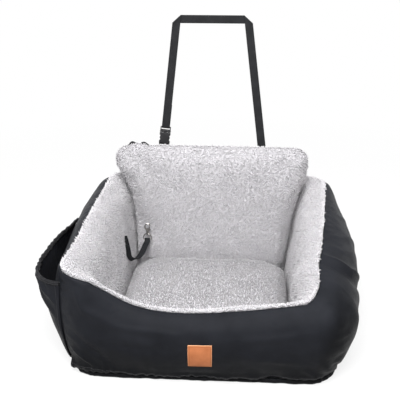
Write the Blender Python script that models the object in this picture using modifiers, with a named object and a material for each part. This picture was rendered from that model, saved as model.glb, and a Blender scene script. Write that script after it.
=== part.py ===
"""Dog car seat: a ring of padded fabric walls with a loose seat cushion and back cushion, a side
pocket, a headrest strap with a side release buckle, and a tether with a trigger snap hook.

Metres, +Z up, +X to the right of someone facing the seat, +Y towards the back of the car seat.
The origin is at the middle of the flat underside.
"""

import math

import bmesh
import bpy
import numpy as np
from mathutils import Matrix, Vector

CLEARANCE = 0.0003  # between pieces that touch

# Plan of the walls at the floor
HALF_WIDTH = 0.268
HALF_DEPTH = 0.250
CORNER_RADIUS = 0.060
WELL_HALF_WIDTH = 0.188
WELL_FRONT = -0.188
WELL_REAR = 0.200
WELL_CORNER_RADIUS = 0.030
CORNER_SHARE = 0.15  # of each wall's run, at each end, spent on its half of the corner

# Sizes round the ring, as (place, size). Places count corners: 0 front left, 1 front right,
# 2 rear right and 3 rear left, so 0.5 is the middle of the front wall
RIM_HEIGHT = [
    (0.0, 0.230), (0.12, 0.208), (0.18, 0.184), (0.25, 0.163), (0.38, 0.150), (0.55, 0.152),
    (0.85, 0.174), (1.0, 0.187), (1.2, 0.207), (1.5, 0.238), (1.8, 0.256), (2.0, 0.254),
    (2.5, 0.252), (3.0, 0.258), (3.2, 0.264), (3.5, 0.254), (3.8, 0.240),
]
BULGE = [
    (0.0, 0.020), (0.15, 0.020), (0.5, 0.024), (0.85, 0.026), (1.0, 0.030), (1.2, 0.045),
    (1.5, 0.056), (1.8, 0.044), (2.0, 0.026), (2.15, 0.0), (2.2, 0.0), (2.8, 0.0), (2.85, 0.0),
    (3.0, 0.018), (3.2, 0.036), (3.5, 0.040), (3.8, 0.030),
]
RIDGE_OUT = [
    (0.0, 0.014), (0.2, -0.008), (0.5, -0.010), (0.85, -0.014), (1.0, -0.026), (1.2, -0.036),
    (1.35, -0.026), (1.55, -0.012), (1.75, 0.0), (1.9, 0.008), (2.0, 0.006), (2.15, 0.0),
    (2.2, 0.0), (2.8, 0.0), (2.85, 0.0), (3.0, -0.012), (3.12, -0.020), (3.3, -0.018),
    (3.5, -0.012), (3.8, -0.004),
]
TOP_WIDTH = [
    (0.0, 0.058), (0.2, 0.030), (0.5, 0.028), (0.85, 0.030), (1.0, 0.046), (1.3, 0.040),
    (1.6, 0.046), (2.0, 0.050), (2.2, 0.028), (2.5, 0.026), (2.8, 0.028), (3.0, 0.042),
    (3.4, 0.040), (3.8, 0.046),
]
INNER_SWELL = 0.004

# Layers of a wall
COVER_THICKNESS = 0.0012
LINING_PILE = 0.0030
LINING_BACKING = 0.0012

# Floor
BOTTOM_THICKNESS = 0.0015
BOTTOM_INSET = 0.0120
BOARD_THICKNESS = 0.018
HEM_RADIUS = 0.0058
HEM_IN = 0.0040
HEM_SIDES = 10

# Seat cushion
CUSHION_RISE = 0.046
CUSHION_DROP = 0.036
CUSHION_COVER = 0.003

# Back cushion
BACK_HEIGHT = 0.339
BACK_OVERHANG_LEFT = 0.026
BACK_OVERHANG_RIGHT = 0.004
BACK_FRONT_SWELL = 0.037
BACK_REAR_SWELL = 0.040
BACK_COVER = 0.003
BACK_LEAN = math.radians(8)
BACK_SIDE_GAP = 0.0010
BACK_REAR_GAP = 0.0014

# Side pocket
POCKET_REAR_END = 0.46
POCKET_FRONT_END = 0.97
POCKET_OPEN = 0.040
POCKET_FOOT_TURN = 1.0
POCKET_MOUTH_TURN = 4.5
POCKET_SEWN_GAP = 0.0006
POCKET_THICKNESS = 0.0012
POCKET_HEM_WIDTH = 0.012
POCKET_HEM_THICKNESS = 0.0010

# Leather patch
PATCH_WIDTH = 0.047
PATCH_HEIGHT = 0.049
PATCH_THICKNESS = 0.0016
PATCH_MIDDLE_HEIGHT = 0.075

# Headrest strap
WEBBING_WIDTH = 0.020
WEBBING_THICKNESS = 0.0016
STRAP_LEAN = math.radians(16)
STRAP_LEAVES_AT = 0.232
STRAP_ANCHOR_LOW = 0.150
STRAP_LEFT_FOOT = -0.133
STRAP_RIGHT_FOOT = 0.1335
STRAP_LEFT_TOP = -0.096
STRAP_RIGHT_TOP = 0.081
STRAP_REACH = 0.4057
STRAP_FOLD_GAP = 0.0022
STRAP_TAIL = 0.055
BUCKLE_REACH = 0.112

# Side release buckle
BUCKLE_WIDTH = 0.027
SOCKET_LENGTH = 0.028
SOCKET_THICKNESS = 0.0090
SOCKET_WALL = 0.0022
WAIST_RADIUS = 0.009
WAIST_DEPTH = 0.004
WEB_FRAME_LENGTH = 0.0095
WEB_FRAME_THICKNESS = 0.0046
WEB_SLOT_LENGTH = 0.0048
WEB_BAR = 0.0022
PLUG_BLOCK = 0.0050
ARM_THICKNESS = 0.0034
ARM_SQUEEZE = math.radians(7)

# Tether
TETHER_WIDTH = 0.014
TETHER_THICKNESS = 0.0015

# Snap hook
HOOK_LEAN = math.radians(14)
EYE_HALF_WIDTH = 0.0100
EYE_HEIGHT = 0.0140
EYE_WIRE = 0.0013
COLLAR_RADIUS = 0.0032
COLLAR_LENGTH = 0.0050
STUD_RADIUS = 0.00145
STUD_HEAD_RADIUS = 0.0021
STUD_HEAD_LENGTH = 0.0014
CLAW_WIRE = 0.0017
GATE_THICKNESS = 0.0022
GATE_PIN_RADIUS = 0.0008

# How finely the walls are cut: places along each wall, and steps round its section
FRONT_PLACES = (0, 0.075, 0.15, 0.19, 0.24, 0.30, 0.38, 0.5, 0.62, 0.74, 0.85, 0.925, 1)
SIDE_PLACES = (0, 0.075, 0.15, 0.27, 0.38, 0.5, 0.62, 0.74, 0.85, 0.925, 1)
REAR_PLACES = (0, 0.075, 0.15, 0.35, 0.65, 0.85, 0.925, 1)
TURNS = tuple(i / 2 for i in range(21))
BORDER_TURN = 6.0
BORDER_GAP = 0.02
PILLOW_STEPS = 6

FLOOR_TOP = BOTTOM_THICKNESS + CLEARANCE
HEM_TOP = 2 * HEM_RADIUS + 2 * CLEARANCE
BOARD_TOP = FLOOR_TOP + BOARD_THICKNESS
REAR_FACE = HALF_DEPTH


def clear_scene():
    for item in list(bpy.data.objects):
        bpy.data.objects.remove(item, do_unlink=True)


def new_collection(name):
    made = bpy.data.collections.new(name)
    bpy.context.scene.collection.children.link(made)
    return made


def new_material(name, colour, roughness, metallic=0.0):
    made = bpy.data.materials.new(name)
    made.use_nodes = True
    shader = made.node_tree.nodes["Principled BSDF"]
    shader.inputs["Base Color"].default_value = (*colour, 1)
    shader.inputs["Roughness"].default_value = roughness
    shader.inputs["Metallic"].default_value = metallic
    made.diffuse_color = (*colour, 1)
    return made


def add_part(name, mesh, material, smooth=30):
    """A named object of the seat, with its material and smooth shading."""
    mesh.name = name
    mesh.materials.clear()
    mesh.materials.append(material)
    mesh.shade_smooth()
    mesh.set_sharp_from_angle(angle=math.radians(smooth))
    part = bpy.data.objects.new(name, mesh)
    PARTS.objects.link(part)
    return part


def mesh_of(build):
    """A mesh made by a function that fills a bmesh, with its faces turned out."""
    made = bmesh.new()
    build(made)
    bmesh.ops.recalc_face_normals(made, faces=made.faces)
    mesh = bpy.data.meshes.new("mesh")
    made.to_mesh(mesh)
    made.free()
    return mesh


def loft_mesh(rows, turned_from=None):
    """A closed solid through closed loops of points, one loop for each row.

    From the point turned_from on, a loop runs back along a skin's inner side, and its facets
    are split the other way, so that they lie along those of the outer side.
    """

    def build(made):
        loops = [[made.verts.new(p) for p in row] for row in rows]
        count = len(loops[0])
        for one, two in zip(loops, loops[1:]):
            for i in range(count):
                j = (i + 1) % count
                if turned_from is not None and turned_from <= i < count - 1:
                    made.faces.new((one[i], one[j], two[i]))
                    made.faces.new((one[j], two[j], two[i]))
                else:
                    made.faces.new((one[i], one[j], two[j]))
                    made.faces.new((one[i], two[j], two[i]))
        made.faces.new(loops[0])
        made.faces.new(loops[-1])

    return mesh_of(build)


def smooth_value(knots, place):
    """The size at a place round the ring, on a smooth closed curve through the knots."""
    place %= 4
    count = len(knots)
    here = max(i for i in range(count) if knots[i][0] <= place)

    def knot(i):
        laps, i = divmod(i, count)
        return knots[i][0] + 4 * laps, knots[i][1]

    (x0, y0), (x1, y1), (x2, y2), (x3, y3) = (knot(here + i) for i in (-1, 0, 1, 2))
    run = x2 - x1
    slope1 = (y2 - y0) / (x2 - x0) * run
    slope2 = (y3 - y1) / (x3 - x1) * run
    t = (place - x1) / run
    return (
        y1 * (2 * t**3 - 3 * t**2 + 1)
        + slope1 * (t**3 - 2 * t**2 + t)
        + y2 * (3 * t**2 - 2 * t**3)
        + slope2 * (t**3 - t**2)
    )


def rounded_plan(place, half_x, front, rear, radius):
    """A point on a rounded rectangle, seen from above, at a place counted in corners."""
    wall = int(place) % 4
    share = place - int(place)
    signs = ((-1, -1), (1, -1), (1, 1), (-1, 1))

    def corner(index):
        sx, sy = signs[index % 4]
        return np.array((sx * (half_x - radius), rear - radius if sy > 0 else front + radius))

    def on_arc(index, degrees):
        angle = math.radians(degrees + 90 * wall)
        return corner(index) + radius * np.array((math.cos(angle), math.sin(angle)))

    if share < CORNER_SHARE:
        return on_arc(wall, 225 + 45 * share / CORNER_SHARE)
    if share > 1 - CORNER_SHARE:
        return on_arc(wall + 1, 270 + 45 * (share - 1 + CORNER_SHARE) / CORNER_SHARE)
    t = (share - CORNER_SHARE) / (1 - 2 * CORNER_SHARE)
    return on_arc(wall, 270) * (1 - t) + on_arc(wall + 1, 270) * t


def outer_plan(place):
    return rounded_plan(place, HALF_WIDTH, -HALF_DEPTH, HALF_DEPTH, CORNER_RADIUS)


def foot_inside(place, inset):
    """The walls' foot moved square inward by an inset."""
    radius = CORNER_RADIUS - inset
    return rounded_plan(place, HALF_WIDTH - inset, inset - HALF_DEPTH, HALF_DEPTH - inset, radius)


def well_plan(place, inset=0.0):
    half_x, radius = WELL_HALF_WIDTH - inset, WELL_CORNER_RADIUS - inset
    return rounded_plan(place, half_x, WELL_FRONT + inset, WELL_REAR - inset, radius)


def station(place):
    """Where a wall's section stands: its outer foot, its outward direction and its depth."""
    foot, well = outer_plan(place), well_plan(place)
    depth = float(np.linalg.norm(foot - well))
    return foot, (foot - well) / depth, depth


def section_knots(place):
    """A wall's section as (outward, height), from its hem over the ridge to the well's floor."""
    depth = station(place)[2]
    height = smooth_value(RIM_HEIGHT, place)
    bulge = smooth_value(BULGE, place)
    ridge = smooth_value(RIDGE_OUT, place)
    top = smooth_value(TOP_WIDTH, place)
    return np.array([
        (-HEM_IN, HEM_TOP),
        (0.35 * bulge - 0.001, HEM_TOP + 0.09 * height),
        (0.70 * bulge, 0.28 * height),
        (bulge, 0.52 * height),
        (0.85 * bulge + 0.15 * ridge, 0.80 * height),
        (0.45 * bulge + 0.55 * ridge, 0.95 * height),
        (ridge, height),
        (ridge - 0.45 * top, 0.985 * height),
        (ridge - top, 0.86 * height),
        (0.55 * (ridge - top) - 0.45 * depth - INNER_SWELL, 0.50 * height),
        (-depth, FLOOR_TOP),
    ])


def section_point(knots, turn):
    """A point of the section and its outward normal, at a turn counted in knots."""
    last = len(knots) - 1
    here = min(int(turn), last - 1)
    t = turn - here
    p1, p2 = knots[here], knots[here + 1]
    p0 = knots[here - 1] if here > 0 else 2 * p1 - p2
    p3 = knots[here + 2] if here + 2 <= last else 2 * p2 - p1
    m1, m2 = (p2 - p0) / 2, (p3 - p1) / 2
    point = (
        p1 * (2 * t**3 - 3 * t**2 + 1)
        + m1 * (t**3 - 2 * t**2 + t)
        + p2 * (3 * t**2 - 2 * t**3)
        + m2 * (t**3 - t**2)
    )
    along = (
        p1 * (6 * t**2 - 6 * t)
        + m1 * (3 * t**2 - 4 * t + 1)
        + p2 * (6 * t - 6 * t**2)
        + m2 * (3 * t**2 - 2 * t)
    )
    along /= np.linalg.norm(along)
    return point, np.array((along[1], -along[0]))


class Wall:
    """One wall of the ring, as a grid of points on its finished surface and their normals."""

    def __init__(self, first_corner, places):
        self.places = places
        self.points = np.zeros((len(places), len(TURNS), 3))
        self.normals = np.zeros_like(self.points)
        for i, share in enumerate(places):
            place = first_corner + share
            foot, out, _ = station(place)
            aside = np.array((-out[1], out[0])) * self.end_gap(i)
            knots = section_knots(place)
            for j, turn in enumerate(TURNS):
                (p, z), (np_out, nz) = section_point(knots, turn)
                self.points[i, j] = (*(foot + out * p + aside), z)
                self.normals[i, j] = (*(out * np_out), nz)

    def end_gap(self, index):
        """Half the seam's gap to the next wall, at the wall's two ends."""
        ends = {0: CLEARANCE / 2, len(self.places) - 1: -CLEARANCE / 2}
        return ends.get(index, 0.0)

    def at(self, share, turn, out=0.0):
        """A point on the wall's facets, moved out along the normal, never below the floor."""
        i = min(int(np.searchsorted(self.places, share, side="right")) - 1, len(self.places) - 2)
        u = (share - self.places[i]) / (self.places[i + 1] - self.places[i])
        j = min(int(turn * 2), len(TURNS) - 2)
        v = turn * 2 - j
        grid = self.points + self.normals * out
        if v >= u:
            point = grid[i, j] * (1 - v) + grid[i, j + 1] * (v - u) + grid[i + 1, j + 1] * u
        else:
            point = grid[i, j] * (1 - u) + grid[i + 1, j] * (u - v) + grid[i + 1, j + 1] * v
        point[2] = max(point[2], FLOOR_TOP)
        return point

    def skin(self, turns, outer, inner):
        """A closed shell between two distances from the surface."""
        rows = []
        for share in self.places:
            back = [self.at(share, t, inner) for t in reversed(turns)]
            rows.append([self.at(share, t, outer) for t in turns] + back)
        return loft_mesh(rows, len(turns))

    def core(self, first_corner, inset):
        """The padding inside the skins, with a step that leaves room for the hem."""
        rows = []
        for share in self.places:
            foot, out, _ = station(first_corner + share)
            row = [self.at(share, t, -inset) for t in TURNS]
            aside = row[0][:2] - (foot + out * ((row[0][:2] - foot) @ out))
            square = foot - foot_inside(first_corner + share, BOTTOM_INSET)
            step = foot - out * (square @ square) / (square @ out) + aside
            row = [(*step, FLOOR_TOP), (*step, HEM_TOP + CLEARANCE), *row]
            rows.append(row)
        return loft_mesh(rows)


def skin_turns():
    """The turns of the cover and of the lining, which meet at the border."""
    cover = [t for t in TURNS if t < BORDER_TURN] + [BORDER_TURN - BORDER_GAP]
    lining = [BORDER_TURN + BORDER_GAP] + [t for t in TURNS if t > BORDER_TURN]
    return cover, lining


def make_walls():
    """Padding, plush lining and outer cover of the four walls."""
    cover_turns, lining_turns = skin_turns()
    inset = COVER_THICKNESS + CLEARANCE
    for corner, (name, wall) in enumerate(WALLS.items()):
        add_part(f"{name}_padding", wall.core(corner, inset), FOAM)
        add_part(f"{name}_lining", wall.skin(lining_turns, LINING_PILE, -LINING_BACKING), PLUSH)
        add_part(f"{name}_cover", wall.skin(cover_turns, 0.0, -COVER_THICKNESS), FABRIC)


def ring_outline(plan, inset):
    """Points of a plan all round the ring, moved square inward by an inset."""
    return [plan(corner + share, inset) for corner, wall in enumerate(WALLS.values()) for share in wall.places[:-1]]


def flat_plate(name, outline, low, high, material):
    """A flat sheet of the given outline between two heights."""
    curve = bpy.data.curves.new(name, "CURVE")
    curve.dimensions = "2D"
    curve.fill_mode = "BOTH"
    curve.extrude = (high - low) / 2
    line = curve.splines.new("POLY")
    line.points.add(len(outline) - 1)
    line.use_cyclic_u = True
    for point, (x, y) in zip(line.points, outline):
        point.co = (x, y, 0, 1)
    mesh = mesh_from_curve(curve)
    mesh.transform(Matrix.Translation((0, 0, (low + high) / 2)))
    return add_part(name, mesh, material)


def mesh_from_curve(curve):
    """The welded mesh of a curve."""
    holder = bpy.data.objects.new("curve", curve)
    bpy.context.scene.collection.objects.link(holder)
    bpy.context.view_layer.update()
    mesh = bpy.data.meshes.new_from_object(holder.evaluated_get(bpy.context.evaluated_depsgraph_get()))
    bpy.data.objects.remove(holder, do_unlink=True)
    made = bmesh.new()
    made.from_mesh(mesh)
    bmesh.ops.remove_doubles(made, verts=made.verts, dist=1e-6)
    bmesh.ops.recalc_face_normals(made, faces=made.faces)
    made.to_mesh(mesh)
    made.free()
    return mesh


def tube_curve(points, radius, resolution, cyclic=False, radii=None):
    """A round tube through points, as a curve."""
    curve = bpy.data.curves.new("tube", "CURVE")
    curve.dimensions = "3D"
    curve.bevel_depth = radius
    curve.bevel_resolution = resolution
    curve.use_fill_caps = True
    line = curve.splines.new("POLY")
    line.points.add(len(points) - 1)
    line.use_cyclic_u = cyclic
    for i, (point, co) in enumerate(zip(line.points, points)):
        point.co = (*co, 1)
        point.radius = radii[i] if radii else 1.0
    return curve


def make_floor():
    """Non-slip bottom sheet, stiff board of the well, and the gathered hem round the foot."""
    panel = ring_outline(foot_inside, BOTTOM_INSET)
    flat_plate("bottom_panel", panel, 0.0, BOTTOM_THICKNESS, RUBBERISED)
    board = ring_outline(well_plan, LINING_PILE + CLEARANCE)
    flat_plate("base_board", board, FLOOR_TOP, BOARD_TOP, BOARD)
    hem_line = [(*p, HEM_RADIUS + CLEARANCE) for p in ring_outline(foot_inside, HEM_IN)]
    hem = tube_curve(hem_line, HEM_RADIUS, HEM_SIDES // 2 - 2, cyclic=True)
    add_part("hem_roll", mesh_from_curve(hem), FABRIC)


class Well:
    """The hollow between the four linings, as one closed ring of points at each height."""

    def __init__(self, walls):
        self.heights = np.arange(0.004, 0.262, 0.002)
        rows = []
        for wall in walls:
            plush = wall.points + wall.normals * LINING_PILE
            rows += [row[TURNS.index(7.0):] for row in plush]
        self.rings = np.array([
            [[np.interp(-height, -row[:, 2], row[:, axis]) for axis in (0, 1)] for row in rows]
            for height in self.heights
        ])

    def ring(self, height):
        """The rings nearest to some heights."""
        index = np.rint((np.asarray(height) - self.heights[0]) / 0.002).astype(int)
        return self.rings[np.clip(index, 0, len(self.heights) - 1)]

    def reach(self, axis, sign, place, height):
        """How far the well goes along an axis, at a place across it and a height."""
        here = self.ring(height)
        ahead = np.roll(here, -1, axis=0)
        a, b = here[:, 1 - axis] - place, ahead[:, 1 - axis] - place
        cut = (a * b <= 0) & (a != b)
        share = a[cut] / (a[cut] - b[cut])
        at = sign * (here[cut, axis] + (ahead[cut, axis] - here[cut, axis]) * share)
        return float(min(at[at > 0]))

    def holds(self, x, y, height, gap):
        """Whether some points are all inside the well, at least a gap from its linings."""
        here = self.ring(height)
        ahead = np.roll(here, -1, axis=1)
        x, y = np.asarray(x)[:, None], np.asarray(y)[:, None]
        edge_x, edge_y = ahead[..., 0] - here[..., 0], ahead[..., 1] - here[..., 1]
        off_x, off_y = x - here[..., 0], y - here[..., 1]
        share = np.clip((off_x * edge_x + off_y * edge_y) / (edge_x**2 + edge_y**2), 0, 1)
        away = np.hypot(off_x - share * edge_x, off_y - share * edge_y).min(axis=1)
        spans = (here[..., 1] > y) != (ahead[..., 1] > y)
        slope = edge_x / np.where(edge_y == 0, 1.0, edge_y)
        crossed = spans & (off_x < off_y * slope)
        inside = crossed.sum(axis=1) % 2 == 1
        return bool(np.all(inside & (away >= gap)))


class Pillow:
    """A cushion between two swelling sheets that meet at a seam.

    Its own frame has across and up in the plane of the seam, and out towards the front sheet.
    """

    def __init__(self, left_edge, right_edge, low, high, front, rear, place, blunt, roundness):
        self.left_edge, self.right_edge = left_edge, right_edge
        self.low, self.high = low, high
        self.front, self.rear = front, rear
        self.place = place
        self.blunt, self.roundness = blunt, roundness

    def swell(self, a, b):
        edge = max(0.0, 1 - abs(a) ** self.blunt) * max(0.0, 1 - abs(b) ** self.blunt)
        return edge ** (1 / 2.2)

    def flat(self, a, b, inset):
        """Across and up, for a place in the unit square, with the corners rounded."""
        reach = max(abs(a), abs(b))
        shrink = 1.0
        if reach > 1e-6:
            total = (abs(a) / reach) ** self.roundness + (abs(b) / reach) ** self.roundness
            shrink = total ** (-1 / self.roundness)
        a, b = a * shrink, b * shrink
        middle, half = (self.low + self.high) / 2, (self.high - self.low) / 2
        up = middle + b * (half - inset)
        left, right = self.left_edge(up) + inset, self.right_edge(up) - inset
        return (left + right) / 2 + a * (right - left) / 2, up

    def point(self, a, b, side, inset, lift=0.0):
        across, up = self.flat(a, b, inset)
        thickness = (self.front if side > 0 else self.rear) - inset
        return self.place @ Vector((across, up, side * (thickness * self.swell(a, b) + lift)))

    def steps(self):
        return [math.sin(math.pi / 2 * i / PILLOW_STEPS) for i in range(-PILLOW_STEPS, PILLOW_STEPS + 1)]

    def sheet(self, made, side, inset, lift):
        steps = self.steps()
        grid = [[made.verts.new(self.point(a, b, side, inset, lift)) for a in steps] for b in steps]
        middle = len(steps) // 2
        for row, (low, high) in enumerate(zip(grid, grid[1:])):
            for i in range(len(steps) - 1):
                if (row < middle) == (i < middle):
                    made.faces.new((low[i], low[i + 1], high[i + 1]))
                    made.faces.new((low[i], high[i + 1], high[i]))
                else:
                    made.faces.new((low[i], low[i + 1], high[i]))
                    made.faces.new((low[i + 1], high[i + 1], high[i]))
        last = len(steps) - 1
        border = grid[0][:-1] + [row[last] for row in grid[:-1]]
        return border + grid[last][:0:-1] + [row[0] for row in grid[:0:-1]]

    def shell(self, side, thickness):
        """One sheet of the cover, from the seam's plane out."""

        def build(made):
            outer = self.sheet(made, side, 0.0, CLEARANCE / 2)
            inner = self.sheet(made, side, thickness, CLEARANCE / 2)
            for i in range(len(outer)):
                j = (i + 1) % len(outer)
                made.faces.new((outer[i], outer[j], inner[j], inner[i]))

        return mesh_of(build)

    def filling(self, inset):
        def build(made):
            self.sheet(made, 1, inset, 0.0)
            self.sheet(made, -1, inset, 0.0)
            bmesh.ops.remove_doubles(made, verts=made.verts, dist=1e-6)

        return mesh_of(build)


def side_edge(sign, lows, frame_point, front, rear, blunt, gap, overhang):
    """A cushion's side edge, as wide as the well lets its swelling sheets be.

    lows are the places up the cushion where it is worked out. frame_point gives the place
    along the well and the height of a point from its own up and out, and whether it is
    above the walls, where the cushion stands out by its overhang.
    """
    half = (lows[-1] - lows[0]) / 2
    middle = (lows[-1] + lows[0]) / 2
    edges = []
    widest = HALF_WIDTH
    for up in lows:
        ends = max(0.0, 1 - abs((up - middle) / half) ** blunt)
        points, clear = [], False
        for a in np.linspace(0.2, 1.0, 25):
            swell = (max(0.0, 1 - a**blunt) * ends) ** (1 / 2.2)
            for out in (front * swell, -rear * swell):
                place, height, free = frame_point(up, out)
                clear = clear or free
                if not free:
                    points.append((a, place, height))
        if clear and widest == HALF_WIDTH:
            widest = edges[-1] + overhang
        if points:
            across, places, heights = np.array(points).T
        narrow, wide = 0.0, widest
        while wide - narrow > 0.0002:
            reach = (narrow + wide) / 2
            if not points or WELL.holds(sign * across * reach, places, heights, gap):
                narrow = reach
            else:
                wide = reach
        edges.append(narrow)
    least = [min(edges[max(0, i - 2):i + 3]) for i in range(len(edges))]
    even = [sum(least[max(0, i - 2):i + 3]) / len(least[max(0, i - 2):i + 3]) for i in range(len(least))]
    return lambda up: sign * float(np.interp(up, lows, even))


def back_frame(shift):
    lean = Matrix.Rotation(-BACK_LEAN, 4, "X") @ Matrix.Rotation(math.pi / 2, 4, "X")
    middle_y = WELL_REAR - BACK_REAR_SWELL + shift
    return Matrix.Translation((0, middle_y, BOARD_TOP + CLEARANCE)) @ lean


def back_at(shift):
    """The back cushion with its foot moved back by a shift."""
    upright = back_frame(shift)
    rim = RIM_HEIGHT[12][1]

    def frame_point(up, out):
        point = upright @ Vector((0, up, out))
        return point[1], point[2], point[2] > rim

    lows = np.linspace(0, BACK_HEIGHT, 36)
    size = (lows, frame_point, BACK_FRONT_SWELL, BACK_REAR_SWELL, 3.0, BACK_SIDE_GAP)
    left = side_edge(-1, *size, BACK_OVERHANG_LEFT)
    right = side_edge(1, *size, BACK_OVERHANG_RIGHT)
    return Pillow(left, right, 0.0, BACK_HEIGHT, BACK_FRONT_SWELL, BACK_REAR_SWELL, upright, 3.0, 9)


def back_pillow():
    """The back cushion, standing on the board and leaning on the rear wall."""
    shift = rear_slack(back_at(0.0))
    shift += rear_slack(back_at(shift))
    return back_at(shift)


def rear_slack(pillow):
    """How far the back cushion can go back before its rear sheet meets the rear wall."""
    slack = []
    for a in (-0.6, 0.0, 0.6):
        for b in np.linspace(-0.9, 0.9, 25):
            x, y, z = pillow.point(a, b, -1, 0.0)
            if z < RIM_HEIGHT[12][1]:
                slack.append(WELL.reach(1, 1, x, z) - y)
    return min(slack) - BACK_REAR_GAP


def seat_pillow(back):
    """The seat cushion, filling the well in front of the back cushion."""
    seam_height = BOARD_TOP + CLEARANCE + CUSHION_DROP
    gap = BACK_SIDE_GAP
    across = (-0.5, 0.0, 0.5)
    rear = min(back.point(a, b, 1, 0.0)[1] for a in across for b in (-0.95, -0.8, -0.6, -0.45)) - gap
    swells = [(b, (1 - b**5) ** (1 / 2.2)) for b in np.linspace(0.6, 1, 21)]
    fronts = []
    for b, swell in swells:
        for out in (CUSHION_RISE * swell, -CUSHION_DROP * swell):
            reach = WELL.reach(1, -1, 0.0, seam_height + out) - gap
            fronts.append((reach + rear * (1 - b) / 2) / ((1 + b) / 2))
    front = -min(fronts)

    def frame_point(up, out):
        return up, seam_height + out, False

    lows = np.linspace(front, rear, 30)
    size = (lows, frame_point, CUSHION_RISE, CUSHION_DROP, 5.0, gap)
    left = side_edge(-1, *size, 0.0)
    right = side_edge(1, *size, 0.0)
    place = Matrix.Translation((0, 0, seam_height))
    return Pillow(left, right, front, rear, CUSHION_RISE, CUSHION_DROP, place, 5.0, 12)


def make_pillow(name, pillow, thickness, front_material, rear_material, front_name, rear_name):
    add_part(f"{name}_{front_name}", pillow.shell(1, thickness), front_material)
    add_part(f"{name}_{rear_name}", pillow.shell(-1, thickness), rear_material)
    add_part(f"{name}_filling", pillow.filling(thickness + CLEARANCE), FOAM)


def pocket_opening(share):
    """How far the pocket's mouth stands off the side, along the wall."""
    t = (share - POCKET_REAR_END) / (POCKET_FRONT_END - POCKET_REAR_END)
    return POCKET_OPEN * math.sin(math.pi * min(1, max(0, t)) ** 1.35) ** 0.8


def pocket_point(share, turn, out):
    """A point of the pocket, which stands off the side more and more towards its mouth."""
    rise = (turn - POCKET_FOOT_TURN) / (POCKET_MOUTH_TURN - POCKET_FOOT_TURN)
    away = station(3 + share)[1] * pocket_opening(share) * rise**1.6
    return WALLS["left"].at(share, turn, POCKET_SEWN_GAP + out) + np.array((*away, 0.0))


def pocket_line(share, out):
    """The pocket's section from its foot to its mouth, with a point where the binding ends."""
    turns = [t for t in TURNS if POCKET_FOOT_TURN <= t <= POCKET_MOUTH_TURN]
    line = [pocket_point(share, t, out) for t in turns]
    down = line[-2] - line[-1]
    line.insert(-1, line[-1] + down / np.linalg.norm(down) * POCKET_HEM_WIDTH)
    return line


def make_pocket():
    """The open side pocket and the binding along its mouth."""
    inner = [s for s in WALLS["left"].places if POCKET_REAR_END < s < POCKET_FRONT_END]
    extra = [(a + b) / 2 for a, b in zip(inner, inner[1:]) if b - a > 0.1]
    shares = [POCKET_REAR_END, *sorted(inner + extra), POCKET_FRONT_END]
    low = POCKET_THICKNESS + CLEARANCE
    high = low + POCKET_HEM_THICKNESS
    panel = [pocket_line(s, POCKET_THICKNESS) + pocket_line(s, 0.0)[::-1] for s in shares]
    add_part("pocket_panel", loft_mesh(panel, len(panel[0]) // 2), FABRIC)
    band = [pocket_line(s, high)[-2:] + pocket_line(s, low)[:-3:-1] for s in shares]
    add_part("pocket_hem", loft_mesh(band, 2), BINDING)


def make_patch():
    """The leather patch, lying on the front cover."""
    wall = WALLS["front"]
    run = 2 * (HALF_WIDTH - CORNER_RADIUS) / (1 - 2 * CORNER_SHARE)

    def turn_at(height):
        turns = np.linspace(1, 6, 101)
        return float(np.interp(height, [wall.at(0.5, t)[2] for t in turns], turns))

    low = turn_at(PATCH_MIDDLE_HEIGHT - PATCH_HEIGHT / 2)
    high = turn_at(PATCH_MIDDLE_HEIGHT + PATCH_HEIGHT / 2)
    turns = [low, *[t for t in TURNS if low < t < high], high]
    shares = [0.5 - PATCH_WIDTH / 2 / run, 0.5, 0.5 + PATCH_WIDTH / 2 / run]
    rows = [
        [wall.at(s, t, CLEARANCE + PATCH_THICKNESS) for t in turns]
        + [wall.at(s, t, CLEARANCE) for t in reversed(turns)]
        for s in shares
    ]
    add_part("leather_patch", loft_mesh(rows, len(turns)), LEATHER)


def ribbon(name, edges, thickness, material):
    """Flat webbing through pairs of edge points."""

    def build(made):
        pairs = [[made.verts.new(p) for p in pair] for pair in edges]
        for (a, b), (c, d) in zip(pairs, pairs[1:]):
            made.faces.new((a, b, d, c))

    part = add_part(name, mesh_of(build), material, smooth=50)
    thicken = part.modifiers.new("thickness", "SOLIDIFY")
    thicken.thickness = thickness
    thicken.offset = 0
    thicken.use_even_offset = True
    return part


def strap_plane(x, reach, back=0.0):
    """A point of the headrest loop: across, up the loop's plane, and behind that plane."""
    strap_y = REAR_FACE + 2 * CLEARANCE + WEBBING_THICKNESS / 2
    y = strap_y + reach * math.sin(STRAP_LEAN) + back * math.cos(STRAP_LEAN)
    z = STRAP_LEAVES_AT + reach * math.cos(STRAP_LEAN) - back * math.sin(STRAP_LEAN)
    return Vector((x, y, z))


def leg_line(foot, top):
    """A leg's run in the loop's plane: its foot, its direction and its sideways direction."""
    run = Vector((top - foot, STRAP_REACH)).normalized()
    return Vector((foot, 0)), run, Vector((run[1], -run[0]))


def leg_pair(foot, top, reach, back=0.0):
    """The two edges of a leg's webbing, a distance up along the leg."""
    start, run, side = leg_line(foot, top)
    middle = start + run * (reach / run[1])
    half = side * WEBBING_WIDTH / 2
    return [strap_plane(*(middle - half), back), strap_plane(*(middle + half), back)]


def fold_pair(corner, run, turned, back):
    """The slanting fold where the webbing turns from one run to the next."""
    fold = (run + turned).normalized()
    reach = WEBBING_WIDTH / 2 / abs(fold[0] * run[1] - fold[1] * run[0])
    low, high = corner - fold * reach, corner + fold * reach
    return strap_plane(*low, back), strap_plane(*high, back)


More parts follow.
